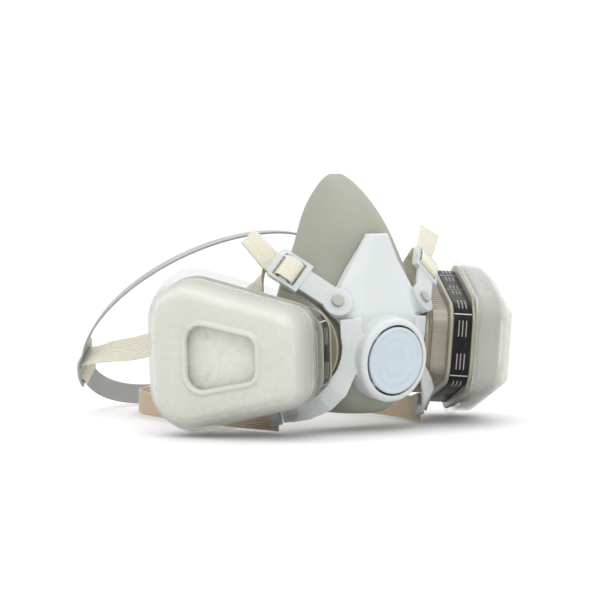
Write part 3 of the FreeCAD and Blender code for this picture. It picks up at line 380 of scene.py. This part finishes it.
def elastomer(name, colour, roughness=0.55, **sockets):
    """Silicone: satin, with a dusty bloom and a very fine matt texture."""
    nodes = Nodes(name, roughness, **sockets)
    cloud = nodes.noise(28.0, 6)
    base = nodes.ramp(cloud, (0.3, shade(colour, 0.95)), (0.72, shade(colour, 1.05)))
    bloom = nodes.noise(220.0, 5, rough=0.65)
    nodes.colour(nodes.mix(nodes.math("MULTIPLY", bloom, 0.12), base, shade(colour, 1.25)))
    nodes.roughness(nodes.math("ADD", nodes.math("MULTIPLY", bloom, 0.2), roughness - 0.1))
    nodes.bump(nodes.noise(2600.0, 2), 0.10, 0.0001)
    return nodes.material


def webbing(name, colour, dark):
    """Knitted elastic: lengthwise ribs with stepped stitches, with painted shade in the grooves between them.
    UV is millimetres along and across.
    """
    nodes = Nodes(name, 0.85, Sheen_Weight=0.35, Sheen_Roughness=0.5)
    along, across, _ = nodes.split("UV")
    rib = nodes.math("DIVIDE", across, RIB_PITCH)
    step = nodes.math("MULTIPLY", nodes.math("FLOOR", rib), 0.5)
    turns = nodes.math("ADD", nodes.math("DIVIDE", along, STITCH_PITCH), step)
    stitch = nodes.math("SINE", nodes.math("MULTIPLY", turns, 2 * math.pi))
    ridge = nodes.math("ABSOLUTE", nodes.math("SINE", nodes.math("MULTIPLY", rib, math.pi)))
    stitch = nodes.math("MULTIPLY", nodes.math("ADD", stitch, 1.0), 0.5)
    height = nodes.math("MULTIPLY", ridge, nodes.math("ADD", nodes.math("MULTIPLY", stitch, 0.5), 0.5))
    fibre = nodes.noise(9.0, 4, stretch=(0.35, 2.0, 1), space="UV")
    height = nodes.math("ADD", height, nodes.math("MULTIPLY", fibre, 0.25))
    # painted shade and highlight: the colour follows the weave's height, dark in the grooves between ribs and
    # stitches and a touch lighter on their crests
    base = nodes.ramp(height, (0.10, dark), (0.75, colour), (1.0, shade(colour, 1.06)))
    wear = nodes.noise(0.09, 5, space="UV")
    nodes.colour(nodes.mix(nodes.math("MULTIPLY", wear, 0.22), base, dark))
    nodes.bump(height, 0.75, 0.0003)
    return nodes.material


def felt(name, colour):
    """Blown fibre web: matted, mottled, with stray fibres."""
    nodes = Nodes(name, 0.95, Sheen_Weight=0.3, Sheen_Roughness=0.6)
    mottle = nodes.noise(260.0, 8, rough=0.7)
    fibre = nodes.noise(1500.0, 5, stretch=(1, 1, 4), rough=0.7)
    mixed = nodes.math("ADD", nodes.math("MULTIPLY", mottle, 0.6), nodes.math("MULTIPLY", fibre, 0.4))
    nodes.colour(nodes.ramp(mixed, (0.35, shade(colour, 0.89)), (0.5, colour), (0.68, shade(colour, 1.06))))
    nodes.bump(mixed, 0.55, 0.0004)
    return nodes.material


def clear_cover(name):
    """Clear moulding: glassy flange, hazy skirt, milky face. UV is millimetres round and up."""
    nodes = Nodes(name, 0.2, IOR=1.45, Coat_Weight=0.5, Coat_Roughness=0.06)
    _, height, _ = nodes.split("UV")
    rise = nodes.math("DIVIDE", height, COVER_RISE)
    haze = nodes.ramp(rise, (0.07, grey(0)), (0.14, grey(0.46)), (0.56, grey(0.62)))
    face = nodes.ramp(rise, (0.54, grey(0)), (0.80, grey(1)))
    milk = nodes.math("ADD", nodes.math("MULTIPLY", haze, 0.75), nodes.math("MULTIPLY", face, 0.45))
    cloud = nodes.noise(38.0, 5)
    tint = nodes.ramp(cloud, (0.3, (0.62, 0.63, 0.56)), (0.7, (0.66, 0.67, 0.60)))
    nodes.colour(nodes.mix(milk, (0.32, 0.34, 0.32), tint))
    nodes.link(nodes.math("ADD", nodes.math("MULTIPLY", milk, 0.72), 0.15), nodes.shader.inputs["Alpha"])
    marks = nodes.noise(190.0, 6, rough=0.7)
    gloss = nodes.math("ADD", nodes.math("MULTIPLY", marks, 0.14), nodes.math("MULTIPLY", milk, 0.16))
    nodes.roughness(nodes.math("ADD", gloss, 0.06))
    nodes.bump(nodes.noise(700.0, 3), 0.04)
    return nodes.material


def granules(name):
    nodes = Nodes(name, 0.7)
    cells = nodes.tree.nodes.new("ShaderNodeTexVoronoi")
    cells.inputs["Scale"].default_value = 900.0
    nodes.link(nodes.coords.outputs["Object"], cells.inputs["Vector"])
    nodes.colour(nodes.ramp(cells.outputs["Distance"], (0.0, (0.05, 0.05, 0.05)), (0.8, (0.01, 0.01, 0.01))))
    nodes.bump(cells.outputs["Distance"], 0.9, 0.0006)
    return nodes.material


def printed_film(name):
    """Black label film with rules and blank marks. UV is millimetres round the case and up."""
    nodes = Nodes(name, 0.30, Specular_IOR_Level=0.1)
    around, height, _ = nodes.split("UV")
    down = nodes.math("SUBTRACT", -2.3, height)
    panel = nodes.math("FRACT", nodes.math("DIVIDE", around, PANEL_LENGTH))
    off_rule = nodes.math("ABSOLUTE", nodes.math("SUBTRACT", panel, 0.5))
    rule = nodes.math("LESS_THAN", off_rule, 0.008)
    row = nodes.math("FRACT", nodes.math("DIVIDE", down, 2.2))
    bar = nodes.math("LESS_THAN", nodes.math("ABSOLUTE", nodes.math("SUBTRACT", row, 0.5)), 0.13)
    inside = nodes.math("GREATER_THAN", off_rule, 0.10)
    outside = nodes.math("LESS_THAN", off_rule, 0.34)
    middle = nodes.math("LESS_THAN", nodes.math("ABSOLUTE", nodes.math("SUBTRACT", down, 5.6)), 3.2)
    beside = nodes.math("MULTIPLY", inside, outside)
    marks = nodes.math("MULTIPLY", nodes.math("MULTIPLY", bar, beside), middle)
    ink = nodes.math("MAXIMUM", rule, nodes.math("MULTIPLY", marks, 0.55))
    scuff = nodes.noise(350.0, 6, rough=0.7)
    black = nodes.ramp(scuff, (0.45, (0.009, 0.009, 0.010)), (0.8, (0.026, 0.026, 0.028)))
    nodes.colour(nodes.mix(ink, black, (0.55, 0.53, 0.47)))
    nodes.bump(scuff, 0.08)
    return nodes.material


RIB_PITCH = 1.24
STITCH_PITCH = 1.15
COVER_RISE = 26.0
PANEL_LENGTH = 38.0

SEAL = elastomer("seal", (0.265, 0.275, 0.22), 0.52, Subsurface_Weight=0.12, Subsurface_Scale=0.003)
SEAL_GREY = moulding("stud_grey", (0.33, 0.34, 0.30), 0.45)
MILKY = moulding(
    "milky_yoke", (0.62, 0.655, 0.655), 0.34, relief=0.06, vary=0.015,
    Subsurface_Weight=0.3, Subsurface_Scale=0.004, Alpha=0.88,
)
MILKY_ARM = moulding(
    "milky_arm", (0.61, 0.645, 0.65), 0.26, relief=0.05, vary=0.02,
    Coat_Weight=0.3, Coat_Roughness=0.1, Alpha=0.66,
)
DISC = moulding(
    "pale_disc", (0.47, 0.54, 0.59), 0.36, relief=0.05, vary=0.02,
    Subsurface_Weight=0.2, Subsurface_Scale=0.003,
)
CLEAR = clear_cover("clear_cover")
FELT = felt("pad_felt", (0.62, 0.63, 0.56))
TAN = moulding(
    "tan_case", (0.29, 0.265, 0.205), 0.38, vary=0.06,
    Metallic=0.25, Coat_Weight=0.15, Coat_Roughness=0.3,
)
FILM = printed_film("label_film")
GRANULES = granules("sorbent_granules")
GRILLE = moulding("grille", (0.62, 0.60, 0.52), 0.5)
VALVE_GREY = moulding("valve_grey", (0.28, 0.29, 0.28), 0.45)
FLAP = elastomer("valve_flap", (0.62, 0.55, 0.38), 0.40, Subsurface_Weight=0.2, Subsurface_Scale=0.002)
CREAM = webbing("cream_webbing", (0.72, 0.69, 0.58), (0.50, 0.46, 0.36))
TAN_WEB = webbing("tan_webbing", (0.52, 0.40, 0.27), (0.33, 0.24, 0.15))
CRADLE = moulding("cradle_grey", (0.33, 0.34, 0.33), 0.48, grain=900.0, relief=0.2)
CLASP = moulding("clasp_grey", (0.36, 0.37, 0.36), 0.42)


# ------------------------------------------------------------------ cartridges

CASE = (0.0, 55.0, 40.2, 13.66, 27.0, 20.0)
HOOD = (3.5, 50.5, 40.4, 13.66, 27.0, 15.0)
HOLE = (3.3, 21.0, 16.2, 11.4, 9.0, 6.5)
RIM_HOLE = (0.75, 46.35, 32.25, 13.66, 19.1, 12.1)
PORT_AT = (-20.0, 0.0)
WRAP_RADIUS = 48.0
FELT_LUMPS = 260.0
FELT_DEPTH = 0.35 * MM


def cover_rings():
    """Filter cover: flange, skirt, shoulder, sloping face and raised lip, then back down inside."""
    return rounded(
        [
            (HOOD, 1.6, 0.0, 0.3),
            (HOOD, -3.6, 0.0, 0.5),
            (HOOD, -3.6, 1.6, 0.5),
            (HOOD, 0.0, 1.8, 0.6),
            (HOOD, 0.5, 13.4, 2.6),
            (HOOD, 3.0, 16.4, 2.4),
            (HOOD, 9.4, 24.0, 2.2),
            (HOOD, 14.0, 24.6, 2.0),
            (HOLE, -4.6, 24.6, 0),
            (HOLE, -3.7, 24.7, 0),
            (HOLE, -3.1, 25.6, 0),
            (HOLE, -2.6, 26.2, 0),
            (HOLE, -1.9, 26.45, 0),
            (HOLE, -1.1, 26.35, 0),
            (HOLE, -0.5, 25.9, 0),
            (HOLE, -0.1, 25.0, 0),
            (HOLE, 0.0, 23.4, 0),
            (HOLE, -0.5, 23.0, 0),
            (HOLE, -5.0, 22.9, 0),
            (HOOD, 14.5, 22.9, 1.5),
            (HOOD, 10.4, 22.4, 2.0),
            (HOOD, 4.4, 15.6, 2.2),
            (HOOD, 2.0, 12.8, 2.2),
        ]
    )


def pad_rings():
    """Particulate pad: a pressed edge, a soft shoulder and a crowned middle close under the cover."""
    return rounded(
        [
            (HOOD, 13.0, 0.4, 0),
            (HOOD, 2.4, 0.4, 0.8),
            (HOOD, 2.4, 3.4, 1.2),
            (HOOD, 4.6, 4.4, 1.2),
            (HOOD, 5.4, 12.0, 3.0),
            (HOOD, 10.0, 17.4, 3.0),
            (HOOD, 14.5, 18.3, 1.5),
            (HOLE, -6.0, 18.6, 0),
            (HOLE, -2.0, 18.8, 0),
            (HOLE, 2.0, 18.9, 0),
            (HOLE, 5.0, 19.0, 0),
        ]
    )


def case_rings():
    """Cartridge case: a tray from its inside floor, over the front rim and down the stepped back shell."""
    return rounded(
        [
            (CASE, 18.0, -26.6, 0),
            (CASE, 12.4, -26.6, 0.5),
            (CASE, 12.4, -3.8, 0.3),
            (CASE, 7.9, -3.8, 0.3),
            (CASE, 7.9, -0.2, 0.4),
            (CASE, 5.0, -0.2, 0.6),
            (CASE, 5.0, -2.0, 0.6),
            (CASE, 6.4, -2.2, 0.3),
            (CASE, 6.4, -13.4, 0.2),
            (CASE, 5.2, -13.6, 0.9),
            (CASE, 5.2, -15.6, 0.9),
            (CASE, 10.6, -15.9, 0.8),
            (CASE, 11.0, -25.0, 0.8),
            (CASE, 11.6, -25.4, 0.5),
            (CASE, 12.2, -28.0, 2.2),
            (CASE, 18.0, -28.0, 0),
        ]
    )


def rim_rings():
    """The case's rim under the filter cover, open over the grille."""
    return [
        (RIM_HOLE, 0.0, -0.25),
        (HOOD, 1.6, -0.25),
        (HOOD, 1.15, -0.4),
        (HOOD, 1.0, -0.8),
        (HOOD, 1.0, -1.5),
        (HOOD, 1.15, -1.85),
        (HOOD, 1.6, -2.0),
        (RIM_HOLE, 0.0, -2.0),
    ]


def band_rings():
    return rounded(
        [
            (CASE, 6.1, -2.3, 0.1),
            (CASE, 5.5, -2.3, 0.25),
            (CASE, 5.5, -13.1, 0.25),
            (CASE, 6.1, -13.1, 0.1),
        ],
        3,
    )


def roughen(obj, scale, amount, seed):
    """Moves a soft piece's surface in and out along its normals by smooth noise."""
    for vertex in obj.data.vertices:
        value = noise.noise(vertex.co * scale + Vector((seed, 0, 0)))
        value += 0.5 * noise.noise(vertex.co * scale * 3.1 + Vector((0, seed, 0)))
        vertex.co += vertex.normal * value * amount


def subdivide(obj, levels):
    modifier = obj.modifiers.new("fine", "SUBSURF")
    modifier.levels = modifier.render_levels = levels
    return apply_modifiers(obj)


def wrap_uv(obj, side):
    """UV in millimetres: round the cartridge by angle, and height over its rim plane."""
    inverse = case_frame(side).inverted()
    layer = obj.data.uv_layers.new(name="wrap")
    for polygon in obj.data.polygons:
        points = [inverse @ obj.data.vertices[v].co for v in polygon.vertices]
        turns = [math.atan2(p.y, p.x) for p in points]
        if max(turns) - min(turns) > math.pi:
            turns = [t + 2 * math.pi if t < 0 else t for t in turns]
        for i, p, turn in zip(polygon.loop_indices, points, turns):
            layer.data[i].uv = (turn * WRAP_RADIUS, p.z)


def case_neck(name, side):
    """Round collar on the case's back, stepped like a turned ring, and the neck inside it."""
    neck = [(14.0, -27.6), (14.0, -33.0), (16.4, -33.0), (17.0, -32.6), (17.0, -30.9), (17.6, -30.4)]
    groove = [(22.0, -30.2), (22.5, -29.7), (24.0, -29.7), (24.5, -30.2), (27.8, -30.4)]
    edge = [(28.6, -30.1), (29.0, -29.4), (29.0, -28.2), (28.4, -27.6), (22.0, -27.6)]
    profile = neck + groove + edge
    return smooth(lathe(name, profile, case_frame(side), 96, PORT_AT))


def wall_ribs(name, side):
    """Short upright ribs along the back shell, where the case is gripped."""
    mesh = bmesh.new()
    rim = outline(CASE, 10.9)
    count = len(rim)
    for i in range(count):
        p, q = rim[i], rim[(i + 1) % count]
        along = q - p
        if along.length < 2.0 or abs(p.y) < 8:
            continue
        out = Vector((along.y, -along.x)).normalized()
        middle = (p + q) / 2
        tangent = along.normalized()
        corners = []
        for z in (-24.6, -16.4):
            for du, dn in ((-0.55, -0.4), (0.55, -0.4), (0.35, 0.35), (-0.35, 0.35)):
                spot_xy = middle + tangent * du + out * dn
                corners.append(mesh.verts.new((spot_xy.x, spot_xy.y, z)))
        mesh.faces.new(corners[:4])
        mesh.faces.new(corners[4:])
        for a, b in ((0, 1), (1, 2), (2, 3), (3, 0)):
            mesh.faces.new((corners[a], corners[b], corners[b + 4], corners[a + 4]))
    return finished(name, mesh, case_frame(side))


def make_cartridge(name, side):
    matrix = case_frame(side)
    cover = smooth(stack(f"cover_{name}_shell", cover_rings(), matrix, closed=True, fine=2), 50)
    wrap_uv(cover, side)
    dress(cover, CLEAR, "cover_plastic", f"cover_{name}", f"filter_cover_{name}")
    pad = subdivide(stack(f"pad_{name}_felt", pad_rings(), matrix, fine=2), 1)
    roughen(pad, FELT_LUMPS, FELT_DEPTH, side)
    smooth(pad, 80)
    dress(pad, FELT, "pad_felt", f"pad_{name}", f"particulate_pad_{name}")
    shell = smooth(stack(f"case_{name}_shell", case_rings(), matrix, fine=2), 50)
    dress(shell, TAN, "case_plastic", "mask", f"cartridge_case_{name}")
    rim = smooth(stack(f"case_{name}_rim", rim_rings(), matrix, closed=True, fine=2), 50)
    dress(rim, TAN, "case_plastic", "mask")
    dress(case_neck(f"case_{name}_neck", side), TAN, "case_plastic", "mask")
    dress(smooth(wall_ribs(f"case_{name}_ribs", side)), TAN, "case_plastic", "mask")
    band = smooth(stack(f"band_{name}_film", band_rings(), matrix, closed=True, fine=2), 50)
    wrap_uv(band, side)
    dress(band, FILM, "label_black", "mask", f"label_band_{name}")
    hidden = (("sorbent_bed", GRANULES), ("front_grille", GRILLE))
    for node, material in hidden:
        paint(f"{node}_{name}", material)


def paint(node, material):
    """A CAD node that stays as it is, with its material."""
    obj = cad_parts[node]
    obj.data.materials.clear()
    obj.data.materials.append(material)
    return obj


for side_name, side_sign in SIDES:
    make_cartridge(side_name, side_sign)


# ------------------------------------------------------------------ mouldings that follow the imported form


def make_moulding(name, node, voxel, passes, material, slot_name, body):
    return dress(moulded(name, node, voxel, passes), material, slot_name, body, node)


make_moulding("seal_form", "face_seal", 0.8, 5, SEAL, "seal_elastomer", "mask")
make_moulding("yoke_form", "front_yoke", 0.5, 4, MILKY, "yoke_plastic", "mask")
make_moulding("seat_form", "exhalation_seat", 0.4, 3, VALVE_GREY, "valve_grey", "mask")
make_moulding("outlet_form", "exhalation_flap", 0.3, 1, FLAP, "valve_elastomer", "outlet")
make_moulding("cradle_form", "crown_cradle", 0.4, 2, CRADLE, "cradle_plastic", "cradle")
make_moulding("loop_form", "neck_loop", 0.3, 2, CLASP, "clasp_plastic", "mask")
make_moulding("hook_form", "neck_hook", 0.3, 2, CLASP, "clasp_plastic", "clasp_hook")
for side_name, side_sign in SIDES:
    port_node = f"port_bushing_{side_name}"
    make_moulding(f"port_{side_name}_form", port_node, 0.4, 3, VALVE_GREY, "valve_grey", "mask")
    flap_node, flap_body = f"inhalation_flap_{side_name}", f"inlet_{side_name}"
    make_moulding(f"inlet_{side_name}_form", flap_node, 0.3, 1, FLAP, "valve_elastomer", flap_body)
    make_moulding(f"peg_{side_name}_form", f"neck_peg_{side_name}", 0.25, 3, SEAL_GREY, "seal_grey", "mask")
    make_moulding(f"clip_{side_name}_form", f"neck_clip_{side_name}", 0.3, 4, CLASP, "clasp_plastic", "mask")
    arm_body = f"strap_arm_{side_name}"
    make_moulding(f"arm_{side_name}_form", f"buckle_{side_name}", 0.3, 3, MILKY_ARM, "yoke_plastic", arm_body)
    make_moulding(f"stud_{side_name}_form", f"stud_{side_name}", 0.2, 4, SEAL_GREY, "seal_grey", "mask")


def disc_piece():
    """The pale disc in the cover's face: a shallow dish with a rolled rim and faint rings."""
    dish = [(0.0, 0.35), (7.0, 0.4), (7.4, 0.55), (7.8, 0.4), (13.4, 0.45), (13.8, 0.62), (14.2, 0.45)]
    rim = [(17.2, 0.5), (18.0, 0.9), (19.0, 1.0), (19.6, 0.7), (19.8, 0.1), (19.8, -1.2)]
    profile = dish + rim + [(19.4, -1.6), (0.0, -1.6)]
    return smooth(lathe("disc_form", profile, VALVE_FRAME, 128), 60)


dress(disc_piece(), DISC, "valve_cover_plastic", "mask", "valve_disc")


# ------------------------------------------------------------------ webbing

WEB_WIDTH = 14.5
WEB_THICK = 1.25
RIB_HEIGHT = 0.13


def spline(points, step):
    """Points along a smooth curve through the given ones, each with its place by point number."""
    out = []
    count = len(points)
    for i in range(count - 1):
        p1, p2 = points[i], points[i + 1]
        p0 = points[i - 1] if i else p1 * 2 - p2
        p3 = points[i + 2] if i + 2 < count else p2 * 2 - p1
        t1 = math.sqrt(max((p1 - p0).length, 1e-6))
        t2 = t1 + math.sqrt((p2 - p1).length)
        t3 = t2 + math.sqrt(max((p3 - p2).length, 1e-6))
        pieces = max(2, round((p2 - p1).length / step))
        for k in range(pieces):
            t = t1 + (t2 - t1) * k / pieces
            a1 = p0 * ((t1 - t) / t1) + p1 * (t / t1)
            a2 = p1 * ((t2 - t) / (t2 - t1)) + p2 * ((t - t1) / (t2 - t1))
            a3 = p2 * ((t3 - t) / (t3 - t2)) + p3 * ((t - t2) / (t3 - t2))
            b1 = a1 * ((t2 - t) / t2) + a2 * (t / t2)
            b2 = a2 * ((t3 - t) / (t3 - t1)) + a3 * ((t - t1) / (t3 - t1))
            out.append((b1 * ((t2 - t) / (t2 - t1)) + b2 * ((t - t1) / (t2 - t1)), i + k / pieces))
    out.append((points[-1], float(count - 1)))
    return out


def web_section(width, thick):
    """Half-round edged, ribbed section: (across, up, across for the weave) round the strap."""
    steps = 38
    section = []
    for sign in (1, -1):
        for k in range(steps + 1):
            v = sign * (k / steps - 0.5) * width
            edge = min(1.0, (width / 2 - abs(v)) / 0.5)
            rib = RIB_HEIGHT * abs(math.sin(math.pi * (v + width / 2) / RIB_PITCH))
            half = thick / 2 * math.sqrt(max(0.15, edge)) - RIB_HEIGHT + rib * edge
            section.append((v, sign * half, v + width / 2))
    return section


def web_mesh(name, points, acrosses, start=0.0, end=None):
    """A strap between two places on a route; points in metres, places by point number."""
    rows = spline(points, MM)
    last = end if end is not None else len(points) - 1
    centres = [p for p, _ in rows]
    lengths = [0.0]
    for a, b in zip(centres, centres[1:]):
        lengths.append(lengths[-1] + (b - a).length)
    section = web_section(WEB_WIDTH, WEB_THICK)
    mesh = bmesh.new()
    layer = mesh.loops.layers.uv.new("weave")
    rings = []
    for i, (p, place) in enumerate(rows):
        if place < start - 1e-6 or place > last + 1e-6:
            continue
        ahead = (centres[min(i + 1, len(centres) - 1)] - centres[max(i - 1, 0)]).normalized()
        k = min(int(place), len(acrosses) - 2)
        across = acrosses[k].lerp(acrosses[k + 1], place - k)
        across = (across - ahead * across.dot(ahead)).normalized()
        up = ahead.cross(across)
        ring = [mesh.verts.new(p + (across * v + up * h) * MM) for v, h, _ in section]
        rings.append((ring, lengths[i] / MM))
    count = len(section)
    for (low, low_at), (high, high_at) in zip(rings, rings[1:]):
        for i in range(count):
            j = (i + 1) % count
            face = mesh.faces.new((low[i], high[i], high[j], low[j]))
            here, there = section[i][2], section[j][2]
            uvs = ((low_at, here), (high_at, here), (high_at, there), (low_at, there))
            for loop, uv in zip(face.loops, uvs):
                loop[layer].uv = uv
    for ring, _ in (rings[0], rings[-1]):
        mesh.faces.new(ring)
    return smooth(finished(name, mesh), 60)


def arm_point(x, z, side):
    return mirrored(spot(*STUD) + (ARM_ALONG * x + ARM_NORMAL * z) * MM, side)


CRADLE_TILT = math.radians(40.2)
LUG_TURN = math.radians(32)
LEAN = math.radians(45)
CRADLE_RADIUS = 84.0
CRADLE_TURN = Matrix.Rotation(-CRADLE_TILT, 3, "X")
RADIAL = Vector((math.cos(LUG_TURN), math.sin(LUG_TURN), 0))
LUG_ALONG = Vector((-math.sin(LUG_TURN), math.cos(LUG_TURN), 0))
LUG_ACROSS = Vector((0, 0, math.cos(LEAN))) - RADIAL * math.sin(LEAN)
LUG_OUT = Vector((0, 0, math.sin(LEAN))) + RADIAL * math.cos(LEAN)


def lug_point(along, out, side):
    local = RADIAL * CRADLE_RADIUS + LUG_ALONG * along + LUG_OUT * out
    return mirrored(spot(0, 172.0, 60.6) + CRADLE_TURN @ local * MM, side)


TAIL_LENGTH = 20.0
TAIL_TURN = 9.0
TAIL_WAY = Vector((12.4, 8.0, 16.0)).normalized()
TAIL_FACE = Vector((0.08, -0.87, 0.49))
# along the arm and above it, from the free tail's side of the buckle to the strap's
BUCKLE_WEB = (
    (46.0, -4.9), (43.0, -4.9), (41.0, -4.7), (39.5, -3.5),
    (39.1, -1.8), (38.6, -0.2), (37.2, 0.5), (33.7, 0.6),
    (30.2, 0.5), (28.8, -0.3), (28.4, -2.0), (28.4, -4.4),
    (28.9, -5.9), (30.4, -6.5), (44.0, -6.5), (47.0, -6.6),
)
# sideways, back and up, then the way the webbing's width points
FREE_RUN = (
    ((57.6, 38.2, 96.0), (-0.6, 0.3, 0.7)),
    ((55.6, 45.0, 86.5), (-0.3, 0.5, 0.8)),
    ((57.0, 62.0, 74.5), (0, 0, 1)),
    ((61.5, 95.0, 61.5), (0, 0, 1)),
    ((66.0, 135.0, 48.5), (0, 0, 1)),
    ((66.8, 160.0, 43.0), (-0.12, 0, 1)),
    ((69.8, 175.5, 40.8), (-0.45, 0.1, 0.88)),
)
# along the cradle at its lug, and outwards from it
CRADLE_WEB = (
    (-20.0, -13.0), (-10.6, -3.6), (-7.4, 0.2), (-4.6, 1.5),
    (0.0, 1.75), (4.6, 1.4), (7.4, -0.4), (9.6, -2.4), (14.5, -3.0),
)
SPLIT_AT = 3


def upper_strap(name, side):
    """One strap from its free tail, through the buckle, to the cradle's lug, made as two pieces."""
    flat = ARM_NORMAL.cross(ARM_ALONG)
    web = [arm_point(x, z, side) for x, z in BUCKLE_WEB]
    way = mirrored(TAIL_WAY, side)
    tail = TAIL_FACE.cross(TAIL_WAY)
    points = [web[0] + way * TAIL_LENGTH * MM, web[0] + way * TAIL_TURN * MM] + web
    points += [mirrored(spot(*p), side) for p, _ in FREE_RUN]
    points += [lug_point(along, out, side) for along, out in CRADLE_WEB]
    lug_across = CRADLE_TURN @ LUG_ACROSS
    acrosses = [tail, flat.lerp(tail, 0.4)] + [flat] * len(web)
    acrosses += [Vector(across) for _, across in FREE_RUN] + [lug_across] * len(CRADLE_WEB)
    acrosses = [mirrored(across, side) for across in acrosses]
    split = 2 + len(web) + SPLIT_AT
    front = web_mesh(f"strap_{name}_front", points, acrosses, 0, split)
    rear = web_mesh(f"strap_{name}_rear", points, acrosses, split)
    for piece in (front, rear):
        piece.data.materials.append(CREAM)
    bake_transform(front)
    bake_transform(rear)
    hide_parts(f"buckle_web_{name}", f"upper_strap_{name}")
    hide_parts(f"cradle_web_{name}")


NECK_Z = 8.51
# sideways and behind the stud
NECK_PATH = (
    (54.2, 30.0), (54.9, 38.0), (57.5, 50.0), (59.8, 68.0), (61.0, 90.0),
    (60.5, 120.0), (57.5, 150.0), (52.0, 172.0), (43.0, 186.0), (32.5, 192.4),
)
LOOP_ENTRY = (
    (25.0, 195.0), (20.0, 196.1), (16.2, 196.2), (14.5, 197.3), (14.5, 198.8),
    (16.2, 199.9), (20.0, 199.5), (25.0, 197.4), (32.0, 194.4),
)
HOOK_ENTRY = (
    (25.0, 196.4), (20.0, 198.6), (16.4, 198.75), (14.6, 200.0), (14.6, 201.4),
    (16.4, 202.6), (20.0, 201.8), (25.0, 198.9), (32.0, 194.6),
)


def neck_strap(name, side, entry):
    """Lower strap, from the arm's clip to the clasp, where it is doubled back on itself."""
    points = [mirrored(spot(x, back, NECK_Z), side) for x, back in NECK_PATH + entry]
    strap = web_mesh(f"neck_{name}_web", points, [Vector((0, 0, 1))] * len(points))
    strap.data.materials.append(TAN_WEB)
    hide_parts(f"neck_strap_{name}")
    return strap


for side_name, side_sign in SIDES:
    upper_strap(side_name, side_sign)
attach(neck_strap("left", 1, LOOP_ENTRY), "mask")
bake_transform(neck_strap("right", -1, HOOK_ENTRY))


# ------------------------------------------------------------------ floor, lights and camera


def floor():
    mesh = bmesh.new()
    bmesh.ops.create_grid(mesh, x_segments=2, y_segments=2, size=6.0)
    data = bpy.data.meshes.new("floor")
    mesh.to_mesh(data)
    mesh.free()
    obj = new_object("floor", data)
    nodes = Nodes("floor", 0.9)
    nodes.colour(nodes.ramp(nodes.noise(3.0), (0.3, (0.74, 0.74, 0.74)), (0.7, (0.76, 0.76, 0.76))))
    obj.data.materials.append(nodes.material)


def area_light(name, place, aim, size, power):
    data = bpy.data.lights.new(name, "AREA")
    data.shape = "DISK"
    data.size = size
    data.energy = power
    obj = bpy.data.objects.new(name, data)
    bpy.context.scene.collection.objects.link(obj)
    obj.location = place
    obj.rotation_mode = "QUATERNION"
    obj.rotation_quaternion = (Vector(aim) - Vector(place)).to_track_quat("-Z", "Y")


floor()
area_light("key", (-1.0, -1.4, 1.6), (0, 0, 0.06), 1.2, 9)
area_light("fill", (1.6, -1.0, 0.9), (0, 0, 0.06), 1.4, 3)
area_light("top", (0.0, 0.3, 1.9), (0, 0, 0.0), 1.6, 5)

# the studio's light: white overhead, a little greyer towards the floor
world = bpy.data.worlds.new("studio")
bpy.context.scene.world = world
world.use_nodes = True
sky = world.node_tree
place = sky.nodes.new("ShaderNodeTexCoord")
height = sky.nodes.new("ShaderNodeSeparateXYZ")
shades = sky.nodes.new("ShaderNodeValToRGB")
sky.links.new(place.outputs["Generated"], height.inputs["Vector"])
sky.links.new(height.outputs["Z"], shades.inputs["Fac"])
sky.links.new(shades.outputs["Color"], sky.nodes["Background"].inputs["Color"])
shades.color_ramp.elements[0].position = 0.12
shades.color_ramp.elements[0].color = (0.66, 0.66, 0.66, 1)
shades.color_ramp.elements[1].position = 0.9
shades.color_ramp.elements[1].color = (1.0, 1.0, 1.0, 1)
sky.nodes["Background"].inputs["Strength"].default_value = 1.55
bpy.context.scene.view_settings.view_transform = "Standard"

CAMERA_AZIMUTH = math.radians(-38)
CAMERA_ELEVATION = math.radians(3.4)
CAMERA_DISTANCE = 1.962
camera_data = bpy.data.cameras.new("camera")
camera_data.sensor_width = 36
camera_data.lens = 193.8
camera = bpy.data.objects.new("camera", camera_data)
bpy.context.scene.collection.objects.link(camera)
bpy.context.scene.camera = camera
target = spot(0, 78.6, 74.3)
back = Vector(
    (
        math.sin(CAMERA_AZIMUTH) * math.cos(CAMERA_ELEVATION),
        -math.cos(CAMERA_AZIMUTH) * math.cos(CAMERA_ELEVATION),
        math.sin(CAMERA_ELEVATION),
    )
)
camera.location = target + back * CAMERA_DISTANCE
camera.rotation_mode = "QUATERNION"
camera.rotation_quaternion = (-back).to_track_quat("-Z", "Y")
